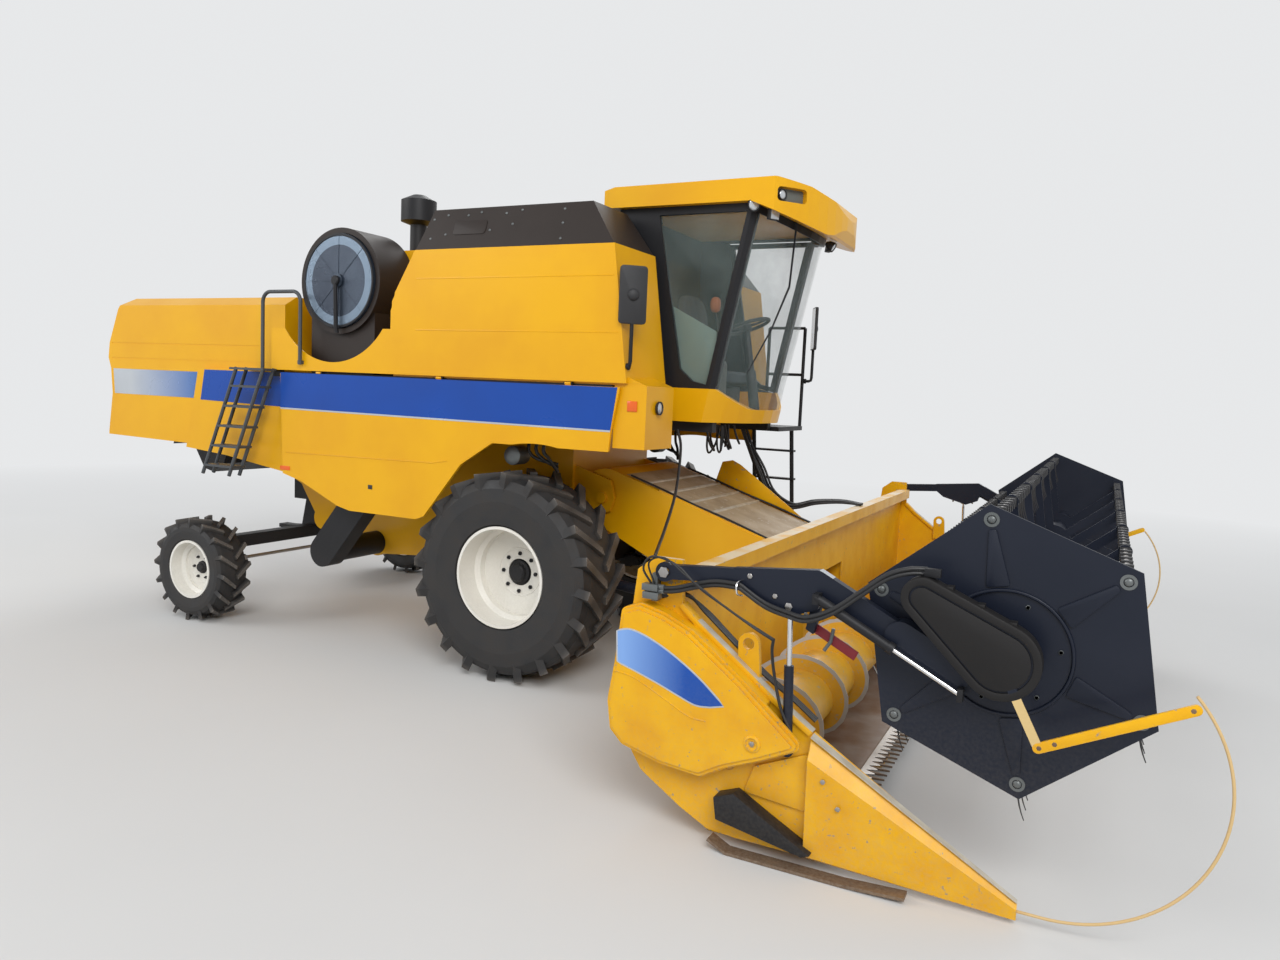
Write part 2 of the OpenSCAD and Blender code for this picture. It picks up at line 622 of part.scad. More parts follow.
module cab_roof() {
    color(yellow) at_axle() difference() {
        intersection() {
            slab(-cab_half - 70, cab_half + 70) difference() {
                polygon([[470, cab_top - 10], [2120, cab_top - 200], [2190, cab_top - 180], [roof_front - 6, cab_top - 110],
                    [roof_front, cab_top - 20], [2190, cab_top + 70], [2080, cab_top + 130], [1900, cab_top + 165],
                    [560, cab_top + 160], [470, cab_top + 135], [470, cab_top]]);
                difference() {
                    translate([0, 2000]) square([3000, cab_top - 2000]);
                    under_roof();
                }
            }
            translate([0, 0, 3000]) linear_extrude(2000) hull() {
                translate([470, -cab_half - 70]) square([1100, 2 * cab_half + 140]);
                intersection() {
                    translate([roof_front - roof_bend, 0]) circle(roof_bend, $fn = 72);
                    translate([1000, -cab_half - 70]) square([2000, 2 * cab_half + 140]);
                }
            }
        }
        // Pockets of the lamps at both front corners
        both() translate([roof_front - roof_bend, 0, cab_top + 45]) rotate([0, 0, 37]) rotate([0, 90, 0])
            translate([0, 0, roof_bend - 55]) linear_extrude(100) offset(r = 30, $fn = 32) square([44, 200], center = true);
    }
}
module cab_interior() {
    floor_z = cab_floor + post;
    color(soot) at_axle() {
        block([1020, -200, floor_z], [1300, 200, floor_z + 260]);
        hull() for (x = [1000, 1380], y = [-220, 220]) translate([x, y, floor_z + 260]) cylinder(h = 120, r = 40, $fn = 24);
        hull() for (y = [-200, 200]) {
            translate([985, y, floor_z + 380]) cylinder(h = 60, r = 50, $fn = 24);
            translate([860, y, floor_z + 980]) cylinder(h = 40, r = 40, $fn = 24);
        }
        // Steering column and wheel
        block([1455, -80, floor_z], [1575, 80, floor_z + 14]);
        bar([1515, 0, floor_z + 10], [1400, 0, floor_z + 760], 45);
        translate([1400, 0, floor_z + 760]) rotate([0, -20, 0]) {
            rotate_extrude($fn = 48) translate([190, 0]) circle(15, $fn = 16);
            for (a = [0 : 120 : 240]) rotate([0, 0, a]) rotate([0, 90, 0]) cylinder(h = 190, r = 12, $fn = 16);
        }
        // Console at the driver's right hand
        block([1000, -640, floor_z], [1370, -320, floor_z + 520]);
        bar([1320, -480, floor_z + 500], [1360, -480, floor_z + 760], 18);
        translate([1360, -480, floor_z + 780]) sphere(38, $fn = 24);
    }
}
module mirror_on(foot, x, turn) {
    bar([foot, 0, 2520], [x, 0, 2520], 16);
    bar([x, 0, 2505], [x, 0, 3080], 14);
    translate([x, 0, 0]) rotate([0, 0, turn]) block([-15, -100, 2820], [15, 100, 3230]);
}
platform_front = 1480;
rail_y = body_half - 150;
module mirrors() {
    color(soot) at_axle() {
        translate([0, 30 - body_half, 0]) mirror_on(tank_front(2504) + 0.3, panel_front + 60, -50);
        translate([0, rail_y, 0]) mirror_on(platform_front + 16.3, platform_front + 90, 26);
    }
}
module cab_steps() {
    color(soot) at_axle() {
        block([990, cab_half - 100, cab_floor - 90], [platform_front + 20, rail_y + 20, cab_floor - 50]);
        for (x = [1010, 1400]) bar([x, rail_y, cab_floor - 70], [x + 60, rail_y + 100, 620], 20);
        for (i = [0 : 4]) block([1015 + 12 * i, rail_y - 30 + 22 * i, 1820 - 280 * i], [1440 + 8 * i, rail_y + 50 + 22 * i, 1840 - 280 * i]);
        // Rail round the platform
        rail_x = panel_front + 80;
        for (x = [rail_x, platform_front]) bar([x, rail_y, cab_floor - 60], [x, rail_y, cab_floor + 900], 16);
        for (z = [450, 900]) bar([rail_x, rail_y, cab_floor + z], [platform_front, rail_y, cab_floor + z], 14);
    }
}
module rear_steps() {
    y0 = max(body_half, hood_half + 70) + 25;
    top = deck_z + 20;
    right = -panel_rear - 50;       // the ladder's front rail, clear of the lifting panel
    left = right - 340;
    hoop = [left + 200, right + 315, top + 670, 90];
    color(soot) at_axle() {
        for (x = [left, right], y = [y0, y0 + 110]) bar([x, -y, top], [x - 360, -y - 60, 1440], 16);
        for (i = [0 : 4]) block([left - 50 - 68 * i, -y0 - 140 - 11 * i, 2230 - 180 * i], [right - 40 - 68 * i, -y0 + 10 - 11 * i, 2250 - 180 * i]);
        block([left - 70, -y0 - 130, top - 20], [right + 16, -y0 + 15, top]);
        block([left - 70, -y0, top - 20], [-hood_front - 5, -hood_half, top]);
        // Hoop to hold on to, from the platform to the tank's low wall
        bar([hoop[0], -y0, top - 10], [hoop[0], -y0, hoop[2] - hoop[3]], 16);
        bar([hoop[1], -y0, top + 45], [hoop[1], -y0, hoop[2] - hoop[3]], 16);
        bar([hoop[0] + hoop[3], -y0, hoop[2]], [hoop[1] - hoop[3], -y0, hoop[2]], 16);
        for (x = [0, 1]) translate([hoop[x] + (1 - 2 * x) * hoop[3], -y0, hoop[2] - hoop[3]]) rotate([90, 0, 0])
            rotate([0, 0, 90 - 90 * x]) rotate_extrude(angle = 90, $fn = 48) translate([hoop[3], 0]) circle(16, $fn = 24);
        block([hoop[1] - 20, -y0 - 10, top + 50], [hoop[1] + 20, -body_half - 0.3, top + 80]);
    }
}

// Feeder house, with its rear end round the pivot
module feeder_side(grow = 0) {
    offset(delta = grow) hull() {
        translate(feeder_pivot) circle(feeder_end_r, $fn = 64);
        polygon(concat(feeder_front, [feeder_pivot]));
    }
}
module feeder_house() {
    color(yellow) at_axle() {
        difference() {
            slab(-feeder_half, feeder_half) feeder_side();
            slab(-feeder_half + 12, feeder_half - 12) difference() {
                feeder_side(-10);
                translate(feeder_pivot) circle(feeder_end_r - 60, $fn = 64);
            }
            slab(-feeder_half + 60, feeder_half - 60) hull() {
                translate([1500, 900]) circle(150);
                polygon([[1960, 1180], [1850, 600], [1700, 900]]);
            }
            slab(-feeder_half + 60, feeder_half - 60) translate(feeder_pivot) polygon([[-300, -120], [0, -120], [0, 120], [-300, 120]]);
        }
        both() axle_y(feeder_pivot[0], feeder_pivot[1], 45 - pin_gap, feeder_half - 100, core_half + 6);
        both() for (y = [436, 534]) difference() {
            slab(y, y + 30) polygon([ram_eye + [-60, -30], ram_eye + [60, -40], ram_eye + [160, 120], ram_eye + [-160, 250]]);
            slab(y - 1, y + 31) feeder_side();
        }
        both() axle_y(ram_eye[0], ram_eye[1], 20 - pin_gap, 425, 575);
    }
}
// A cylinder's barrel and rod lie on the line between its two eyes
ram_len = norm(ram_eye - ram_foot);
ram_dir = (ram_eye - ram_foot) / ram_len;
module eye_link(from, to, r, eye, w, y, neck = 0) {
    v = (to - from) / norm(to - from);
    difference() {
        union() {
            bar([from[0] + neck * v[0], y, from[1] + neck * v[1]], [to[0], y, to[1]], r, 48);
            bar([from[0], y, from[1]], [from[0] + (neck + 1) * v[0], y, from[1] + (neck + 1) * v[1]], w / 2 - 1, 48);
            axle_y(from[0], from[1], eye + 18, y - w / 2, y + w / 2);
        }
        axle_y(from[0], from[1], eye, y - w, y + w);
    }
}
module lift_barrels() {
    color(navy) at_axle() both() difference() {
        eye_link(ram_foot, ram_foot + ram_dir * 900, ram_r, 20, 56, 500, 62);
        bar([ram_foot[0] + ram_dir[0] * 120, 500, ram_foot[1] + ram_dir[1] * 120], [ram_eye[0], 500, ram_eye[1]], 30, 48);
    }
}
module lift_rods() {
    back = ram_foot + ram_dir * 420;
    color(steel) at_axle() both() eye_link(ram_eye, back, 30 - pin_gap, 20 + lift_play, 56, 500, 62);
}

// Header
trough_r = auger_at[0] - header_back;
end_outer = header_half + end_t;
floor_front = knife_x - 50;
guard_n = floor((header_w - 80) / guard_pitch);
module header_body() {
    color(yellow) at_axle() {
        difference() {
            union() {
                slab(-header_half, header_half) {
                    difference() {
                        translate(auger_at) circle(trough_r + 12, $fn = 96);
                        translate(auger_at) circle(trough_r, $fn = 96);
                        translate([auger_at[0], -500]) square([2000, 3000]);
                        translate([auger_at[0] - 1000, auger_at[1]]) square([2000, 2000]);
                    }
                    translate([auger_at[0], header_floor - 12]) square([floor_front - auger_at[0], 12]);
                    translate([header_back - 12, auger_at[1]]) square([12, 900]);
                    translate([header_back - 12, 1310]) square([100, 90]);
                    translate([header_back - 130, 330]) square([125, 110]);
                }
            }
            block([header_back - 200, -feeder_half + 80, 200], [header_back + 60, feeder_half - 80, 950]);
        }
        both() slab(header_half, end_outer) difference() {
            polygon([[1960, 450], [1960, 1120], [1990, 1400], [2090, 1478], [2250, 1478], [2262, 1235], [2350, 1157], [2584, 983],
                [2808, 815], [sheet_front, 690], [sheet_front, 60], [2620, 60], [2460, 70], [2300, 150], [2060, 300]]);
            translate(auger_at) circle(35, $fn = 48);
        }
        both() {
            axle_y(arm_pivot[0], arm_pivot[1], 25 - pin_gap, end_outer, arm_y + 32);
            axle_y(reel_ram_foot[0], reel_ram_foot[1], 14 - pin_gap, end_outer, arm_y + 20);
            // Lifting eye and the shoes that the header rests on
            difference() {
                union() {
                    slab(header_half - end_t, header_half) hull() {
                        translate(lift_eye) circle(eye_r + 26, $fn = 48);
                        translate(lift_eye + [-50, -190]) square([120, 20]);
                    }
                    slab(header_half - 1, header_half + 5) translate(lift_eye + [-50, -190]) square([120, 40]);
                }
                axle_y(lift_eye[0], lift_eye[1], eye_r, header_half - 100, header_half + 50);
            }
            for (y = [1300, header_half - 330]) slab(y, y + 240) polygon([[2300, header_floor - 6], [2400, 12], [2420, 0],
                [3030, 0], [3060, 12], [3060, 24], [2960, header_floor - 10]]);
        }
        // Frame that seats on the feeder's front
        difference() {
            slab(-feeder_half, feeder_half) polygon([feeder_front[0], [header_back - 12, feeder_front[0][1]],
                [header_back - 12, 180], [2010, 180], [feeder_front[1][0] - 20, feeder_front[1][1] - 113], feeder_front[1]]);
            slab(-feeder_half + 60, feeder_half - 60) polygon([[1700, 1165], [2300, 950], [2300, 200], [2050, 200], [1700, 600]]);
        }
    }
}
shield_bulge = 120;
module shield_outline(grow) {
    offset(r = grow, $fn = 48) polygon([[1985, 1170], [2065, 1200], [2190, 1170], [2340, 1104], [2620, 900], [2915, 652],
        [2750, 571], [2560, 490], [2440, 420], [2225, 436], [2005, 490], [1942, 550], [1922, 690], [1956, 900]]);
}
// A moulded cover over each end sheet's drives
module end_shields() {
    color(yellow) at_axle() both() difference() {
        union() {
            slab(end_outer, end_outer + shield_bulge - 35) shield_outline(40);
            slab(end_outer + shield_bulge - 36, end_outer + shield_bulge - 12) shield_outline(28);
            slab(end_outer + shield_bulge - 13, end_outer + shield_bulge) shield_outline(8);
        }
        slab(end_outer - 1, end_outer + shield_bulge - 45) shield_outline(26);
        slab(end_outer - 1, end_outer + shield_bulge - 50) polygon([[2770, 560], [3000, 560], [3000, 900], [2770, 900]]);
    }
}
divider_tip = 3980;
module dividers() {
    inner = header_half + 0.3;
    color(yellow) at_axle() both() {
        // Folded point: outer side, worn ridge and the side towards the crop
        hull() {
            run(sheet_front, sheet_front + 4) polygon([[inner, 40], [end_outer + 55, 90], [end_outer + 80, 590],
                [end_outer + 20, 690], [inner, 700]]);
            run(divider_tip - 6, divider_tip) polygon([[inner, 20], [inner + 30, 30], [inner + 34, 80], [inner + 15, 110],
                [inner, 100]]);
        }
        translate([bow_at[0], header_half, bow_at[1]]) rotate([90, 0, 0]) rotate([0, 0, -90])
            rotate_extrude(angle = 90 + bow_end, $fn = 96) translate([bow_r, 0]) circle(bow_d / 2, $fn = 16);
        bar([divider_tip - 50, header_half, bow_at[1] - bow_r], [bow_at[0], header_half, bow_at[1] - bow_r], bow_d / 2, 16);
    }
}
module guards() {
    color(steel) at_axle() translate([0, 0, header_floor]) linear_extrude(12) {
        translate([floor_front, -header_half]) square([50, header_w]);
        for (i = [0 : guard_n]) translate([knife_x - 5, (i - guard_n / 2) * guard_pitch])
            polygon([[0, -11], [65, -9], [120, 0], [65, 9], [0, 11]]);
    }
}
module knife() {
    color(steel) at_axle() translate([0, 0, header_floor + 12.3]) linear_extrude(4) {
        translate([knife_x - 40, -guard_n / 2 * guard_pitch]) square([30, guard_n * guard_pitch]);
        for (i = [0 : guard_n - 1]) translate([knife_x - 15, (i + 0.5 - guard_n / 2) * guard_pitch])
            polygon([[0, -36], [62, -8], [62, 8], [0, 36]]);
    }
}
module auger() {
    flight_in = feeder_half - 20;
    flight_l = header_half - 40 - flight_in;
    color(steel) at_axle() translate([auger_at[0], 0, auger_at[1]]) {
        both() {
            rotate([-90, 0, 0]) translate([0, 0, flight_in])
                linear_extrude(flight_l, twist = 360 * flight_l / auger_pitch, slices = round(flight_l / auger_pitch * 16), segments = 4)
                    translate([auger_tube_r - 20, -9]) square([auger_r - auger_tube_r + 20, 18]);
        }
        rotate([90, 0, 0]) cylinder(h = header_w - 40, r = auger_tube_r, center = true, $fn = 64);
        rotate([90, 0, 0]) cylinder(h = header_w + 2 * end_t - 4, r = 35 - pin_gap, center = true, $fn = 48);
        for (i = [0 : 7]) translate([0, -490 + 140 * i, 0]) rotate([0, 75 * i, 0]) cylinder(h = auger_r - 10, r = 8, $fn = 16);
    }
}

// Reel
reel_phase = 99.4;
function bat(i) = reel_at + reel_r * unit(reel_phase - 60 * i);
// Slender at its pivot, deep at the knee where the reel's cylinder lifts it
module reel_arms() {
    knee = arm_line[1];
    color(navy) at_axle() both() {
        difference() {
            slab(arm_y - 25, arm_y + 25) {
                strip([arm_pivot, knee], 38);
                strip([knee, arm_line[2]], arm_r);
                translate(arm_pivot) circle(52, $fn = 48);
                polygon([knee + [-430, -57], knee + [-430, 10], knee + [-12, 50], knee + [45, -35], knee + [10, -140],
                    knee + [-105, -188], knee + [-345, -123]]);
            }
            slab(arm_y - 13, arm_y + 13) {
                translate(reel_ram_eye) circle(55, $fn = 48);
                polygon([reel_ram_eye + [-53, 0], reel_ram_eye + [-70, -100], reel_ram_eye + [90, -100], reel_ram_eye + [53, 0]]);
            }
            axle_y(arm_pivot[0], arm_pivot[1], 25, end_outer - 10, arm_y + 100);
        }
        axle_y(reel_ram_eye[0], reel_ram_eye[1], 14 - pin_gap, arm_y - 23, arm_y + 23);
    }
}
reel_ram_dir = (reel_ram_eye - reel_ram_foot) / norm(reel_ram_eye - reel_ram_foot);
module reel_barrels() {
    to = reel_ram_foot + reel_ram_dir * ram_barrel;
    color(navy) at_axle() both() difference() {
        eye_link(reel_ram_foot, to, 24, 14, 22, arm_y, 40);
        bar([reel_ram_foot[0] + reel_ram_dir[0] * 60, arm_y, reel_ram_foot[1] + reel_ram_dir[1] * 60], [to[0], arm_y, to[1]] + 20 * [reel_ram_dir[0], 0, reel_ram_dir[1]], 14, 48);
    }
}
module reel_rods() {
    color(steel) at_axle() both() eye_link(reel_ram_eye, reel_ram_foot + reel_ram_dir * 280, 14 - pin_gap, 14 + reel_play, 22, arm_y, 64);
}
module reel_carriers() {
    a = arm_line[2] - 346 * slide_dir;
    b = arm_line[2] - 67 * slide_dir;
    inner = arm_y - 44;
    color(navy) at_axle() {
        both() difference() {
            union() {
                slab(inner, arm_y + 44) strip([a, b], 75);
                slab(inner, inner + 12) strip([(a + b) / 2, reel_at], 75);
                slab(inner, arm_y + 30) translate(reel_at) circle(55, $fn = 48);
            }
            slab(inner + 12, arm_y + 32) difference() {
                strip([a - 300 * slide_dir, b + 300 * slide_dir], arm_r + 6);
                for (p = [a, b], m = [-arm_r - 8, arm_r + 0.3])
                    translate(p) rotate(atan2(slide_dir[1], slide_dir[0])) translate([-40, m]) square([80, 7.7]);
            }
            axle_y(reel_at[0], reel_at[1], 30, reel_half - 100, arm_y - 10);
        }
        // Cover of the reel's drive
        slab(-arm_y - 110, -arm_y - 38) hull() {
            translate(reel_at + [-345, 235]) circle(92, $fn = 48);
            translate(reel_at) circle(168, $fn = 64);
        }
        slab(arm_y + 25, arm_y + 112) translate(reel_at) circle(40, $fn = 32);
    }
    color(yellow) at_axle() both() slab(arm_y + 109, arm_y + 121) {
        strip(crop_bar, 22);
        strip([crop_bar[0], reel_at], 20);
    }
}
module reel_frame() {
    color(navy) at_axle() difference() {
        union() {
            axle_y(reel_at[0], reel_at[1], reel_tube_r, -reel_half, reel_half);
            axle_y(reel_at[0], reel_at[1], 30 - pin_gap, -arm_y + 12, arm_y - 12);
            both() slab(reel_half, reel_half + shield_t) translate(reel_at) rotate(reel_phase) circle(reel_r + 70, $fn = 6);
            for (y = [-2000, -1000, 0, 1000, 2000]) slab(y - 5, y + 5) {
                for (i = [0 : 5]) {
                    translate(reel_at) rotate(reel_phase - 60 * i) translate([0, -28]) square([reel_r, 56]);
                    translate(bat(i)) circle(36, $fn = 32);
                }
                translate(reel_at) circle(150, $fn = 48);
            }
        }
        for (i = [0 : 5]) axle_y(bat(i)[0], bat(i)[1], bar_r + pin_gap, -header_half, header_half);
    }
}
module tine_bar(i) {
    at = bat(i - 1);
    n = floor((2 * reel_half - 120) / tine_pitch);
    color(navy) at_axle() translate([at[0], 0, at[1]]) {
        rotate([90, 0, 0]) cylinder(h = 2 * reel_half + 2 * shield_t + 6, r = bar_r, center = true, $fn = 48);
        for (k = [0 : n]) translate([0, (k - n / 2) * tine_pitch + 60, 0]) {
            translate([0, 0, -tine_l - bar_r]) cylinder(h = tine_l + bar_r, r = 5, $fn = 4);
        }
    }
}

// Unloader, folded back along the left side
module unloader_base() {
    color(yellow) at_axle() difference() {
        union() {
            axle_y(spout_at[0], 2850, spout_r, body_half, spout_at[1]);
            translate([spout_at[0], spout_at[1], 2850 - spout_r]) cylinder(h = spout_z - spout_r - 5 - 2850 + spout_r, r = spout_r, $fn = 64);
            run(-3650, -3600) polygon([[hood_half, 2850], [hood_half, 2950], [spout_at[1] - 90, spout_z - spout_r - 6],
                [spout_at[1] + 110, spout_z - spout_r - 6], [spout_at[1] + 110, spout_z - spout_r - 35],
                [spout_at[1] - 90, spout_z - spout_r - 45]]);
        }
        translate([spout_at[0], spout_at[1], 2850]) cylinder(h = 1000, r = spout_r - 8, $fn = 64);
    }
}
module unloader_tube() {
    color(yellow) at_axle() difference() {
        union() {
            translate([spout_at[0], spout_at[1], spout_z]) sphere(spout_r, $fn = 64);
            translate([spout_at[0], spout_at[1], spout_z - spout_r]) cylinder(h = spout_r, r = spout_r, $fn = 64);
            translate([spout_at[0], spout_at[1], spout_z - spout_r - 80]) cylinder(h = 90, r = spout_r - 8 - pin_gap, $fn = 64);
            translate([spout_end, spout_at[1], spout_z]) rotate([0, 90, 0]) cylinder(h = spout_at[0] - spout_end, r = spout_r, $fn = 64);
            translate([spout_end, spout_at[1], spout_z]) rotate([0, -150, 0]) cylinder(h = 420, r = spout_r + 8, $fn = 64);
        }
        translate([spout_end - 40, spout_at[1], spout_z]) rotate([0, 90, 0]) cylinder(h = spout_at[0] - spout_end - 60, r = spout_r - 8, $fn = 64);
        translate([spout_end, spout_at[1], spout_z]) rotate([0, -150, 0]) cylinder(h = 500, r = spout_r - 2, $fn = 64);
        translate([spout_at[0], spout_at[1], spout_z - spout_r - 100]) cylinder(h = spout_r + 100, r = spout_r - 24, $fn = 64);
    }
}

separator_body();
deck();
grain_tank();
tank_rim();
side_shield(-1);  // side_shield_r
side_shield(1);  // side_shield_l
straw_hood();
chopper();
engine_block();
engine_cover();
cooling_drum();
rotary_screen();
stacks();
elevators();
cab_base();
cab_frame();
cab_glass();
cab_roof();
cab_door();
cab_door_glass();
cab_interior();
mirrors();
cab_steps();
rear_steps();
front_axle();
front_rim(-1);  // rim_front_r
front_rim(1);  // rim_front_l
front_tyre(-1);  // tyre_front_r
front_tyre(1);  // tyre_front_l
rear_axle();
knuckle(-1);  // knuckle_r
knuckle(1);  // knuckle_l
tie_rod();
rear_rim(-1);  // rim_rear_r
rear_rim(1);  // rim_rear_l
rear_tyre(-1);  // tyre_rear_r
rear_tyre(1);  // tyre_rear_l
feeder_house();
lift_barrels();
lift_rods();
header_body();
end_shields();
dividers();
guards();
knife();
auger();
reel_arms();
reel_barrels();
reel_rods();
reel_carriers();
reel_frame();
tine_bar(1);  // tine_bar_1
tine_bar(2);  // tine_bar_2
tine_bar(3);  // tine_bar_3
tine_bar(4);  // tine_bar_4
tine_bar(5);  // tine_bar_5
tine_bar(6);  // tine_bar_6
unloader_base();
unloader_tube();
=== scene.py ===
import json
import random
from math import acos, atan2, copysign, cos, degrees, exp, pi, radians, sin, tan

import bmesh
import bpy
from mathutils import Matrix, Vector


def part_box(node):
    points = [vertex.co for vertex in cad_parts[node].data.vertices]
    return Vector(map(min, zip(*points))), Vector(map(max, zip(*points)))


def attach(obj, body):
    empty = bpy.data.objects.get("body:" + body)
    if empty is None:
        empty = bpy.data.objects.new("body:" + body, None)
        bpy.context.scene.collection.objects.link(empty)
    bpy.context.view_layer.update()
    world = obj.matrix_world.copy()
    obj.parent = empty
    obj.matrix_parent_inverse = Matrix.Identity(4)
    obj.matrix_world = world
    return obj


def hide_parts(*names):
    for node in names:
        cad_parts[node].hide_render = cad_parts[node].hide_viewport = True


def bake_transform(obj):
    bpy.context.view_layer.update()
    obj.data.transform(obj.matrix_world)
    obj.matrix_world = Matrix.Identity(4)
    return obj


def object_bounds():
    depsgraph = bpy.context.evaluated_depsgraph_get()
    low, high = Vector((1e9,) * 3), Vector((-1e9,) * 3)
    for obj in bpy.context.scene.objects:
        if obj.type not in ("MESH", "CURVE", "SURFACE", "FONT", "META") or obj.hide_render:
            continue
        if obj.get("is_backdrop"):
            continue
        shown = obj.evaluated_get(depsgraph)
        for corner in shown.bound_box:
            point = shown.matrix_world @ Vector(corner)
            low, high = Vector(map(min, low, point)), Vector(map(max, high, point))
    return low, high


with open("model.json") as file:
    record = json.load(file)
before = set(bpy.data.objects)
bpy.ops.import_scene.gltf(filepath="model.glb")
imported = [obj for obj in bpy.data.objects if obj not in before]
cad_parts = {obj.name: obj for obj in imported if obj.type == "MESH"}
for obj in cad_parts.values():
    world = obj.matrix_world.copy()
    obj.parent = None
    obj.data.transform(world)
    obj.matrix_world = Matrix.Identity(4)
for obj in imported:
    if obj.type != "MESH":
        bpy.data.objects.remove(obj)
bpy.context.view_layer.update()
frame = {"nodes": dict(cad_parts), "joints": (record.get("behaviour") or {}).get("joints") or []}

# Places below are metres from the drive axle on the ground: X forward, Y left, Z up
tyreLow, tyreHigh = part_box("tyre_front_r")
axleX = (tyreLow.x + tyreHigh.x) / 2
axle = Vector((axleX, 0, 0))


def boxOf(node):
    low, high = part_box(node)
    return low - axle, high - axle


def pivotOf(jointName):
    joint = next(j for j in frame["joints"] if j["name"] == jointName)
    return Vector(joint["pos_m"]) - axle


# Camera

cameraLook = {"place": (4.163, -7.387, 2.340), "azimuth": 26.64, "down": 5.43, "roll": 2.53, "lens": 25.889,
              "sensor": 36, "clipEnd": 300}


def makeCamera(look):
    azimuth, down, roll = (radians(look[key]) for key in ("azimuth", "down", "roll"))
    ahead = Vector((-sin(azimuth) * cos(down), cos(azimuth) * cos(down), -sin(down)))
    level = Vector((cos(azimuth), sin(azimuth), 0))
    upright = level.cross(ahead)
    right = cos(roll) * level + sin(roll) * upright
    up = cos(roll) * upright - sin(roll) * level
    camera = bpy.data.objects.new("photoCamera", bpy.data.cameras.new("photoCamera"))
    camera.matrix_world = Matrix((right, up, -ahead)).transposed().to_4x4()
    camera.location = Vector(look["place"]) + axle
    camera.data.sensor_width = look["sensor"]
    camera.data.lens = look["lens"]
    camera.data.clip_end = look["clipEnd"]
    bpy.context.scene.collection.objects.link(camera)
    bpy.context.scene.camera = camera


makeCamera(cameraLook)
print("camera set")


# Shapes are pairs: a list of points and a list of faces

def joined(shapes):
    points, faces = [], []
    for shapePoints, shapeFaces in shapes:
        start = len(points)
        points += shapePoints
        faces += [[start + i for i in face] for face in shapeFaces]
    return points, faces


def moved(shape, matrix):
    return [matrix @ Vector(p) for p in shape[0]], shape[1]


def shifted(shape, at):
    return moved(shape, Matrix.Translation(at))


def mirrored(shape):
    return [Vector((p[0], -p[1], p[2])) for p in shape[0]], [face[::-1] for face in shape[1]]


def pair(shapes):
    return list(shapes) + [mirrored(shape) for shape in shapes]


def onSide(side, shapes):
    return [mirrored(shape) for shape in shapes] if side == "r" else shapes


def turns(count):
    return [2 * pi * k / count for k in range(count)]


def swept(rings, closed=False):
    # Quads from each ring of points to the next, and a face on each end of an open row
    size, total = len(rings[0]), len(rings) * len(rings[0])
    faces = [] if closed else [list(range(size)), list(range(total - size, total))[::-1]]
    for a in range(0, total if closed else total - size, size):
        b = (a + size) % total
        faces += [[a + i, b + i, b + (i + 1) % size, a + (i + 1) % size] for i in range(size)]
    return [Vector(p) for ring in rings for p in ring], faces


def prism(outline, y0, y1):
    return swept([[(x, y, z) for x, z in outline] for y in (y0, y1)])


def band(outer, inner, y0, y1):
    return swept([[(a, y0, b), (c, y0, d), (c, y1, d), (a, y1, b)] for (a, b), (c, d) in zip(outer, inner)], True)


def brick(low, high):
    return prism([(low[0], low[2]), (high[0], low[2]), (high[0], high[2]), (low[0], high[2])], low[1], high[1])


def polar(centre, radius, angle):
    return centre[0] + radius * cos(angle), centre[1] + radius * sin(angle)


def arc(centre, radius, start, end, steps):
    return [polar(centre, radius, radians(start + (end - start) * i / steps)) for i in range(steps + 1)]


def rounded(corners, radius, steps=5):
    outline = []
    for i, corner in enumerate(corners):
        here = Vector(corner)
        back = Vector(corners[i - 1]) - here
        ahead = Vector(corners[(i + 1) % len(corners)]) - here
        reach = min(radius / tan(back.angle(ahead) / 2), 0.49 * back.length, 0.49 * ahead.length)
        first, last = here + back.normalized() * reach, here + ahead.normalized() * reach
        for k in range(steps + 1):
            t = k / steps
            outline.append(first * (1 - t) ** 2 + here * 2 * t * (1 - t) + last * t * t)
    return outline


def teardrop(first, firstRadius, second, secondRadius, steps=20):
    gap = Vector(second) - Vector(first)
    lean = degrees(atan2(gap.y, gap.x))
    spread = degrees(acos((firstRadius - secondRadius) / gap.length))
    return (arc(first, firstRadius, lean + spread, lean + 360 - spread, steps)
            + arc(second, secondRadius, lean - spread, lean + spread, steps))


def ribbon(line, above, below):
    upper, lower = [], []
    for i, p in enumerate(line):
        along = (Vector(line[min(i + 1, len(line) - 1)]) - Vector(line[max(i - 1, 0)])).normalized()
        upper.append((p[0] - along.y * above, p[1] + along.x * above))
        lower.append((p[0] + along.y * below, p[1] - along.x * below))
    return upper + lower[::-1]


def grown(outline, size):
    centre = sum((Vector(p) for p in outline), Vector((0, 0))) / len(outline)
    out = []
    for i, p in enumerate(outline):
        along = (Vector(outline[(i + 1) % len(outline)]) - Vector(outline[i - 1])).normalized()
        normal = Vector((along.y, -along.x))
        out.append(p + copysign(size, normal.dot(p - centre)) * normal)
    return out


def smoothPath(points, steps=8):
    points = [Vector(p) for p in points]
    full = [2 * points[0] - points[1]] + points + [2 * points[-1] - points[-2]]
    path = []
    for i in range(1, len(full) - 2):
        a, b, c, d = full[i - 1:i + 3]
        for k in range(steps):
            t = k / steps
            path.append(0.5 * (2 * b + (c - a) * t + (2 * a - 5 * b + 4 * c - d) * t * t
                               + (3 * b - a - 3 * c + d) * t ** 3))
    return path + [points[-1]]


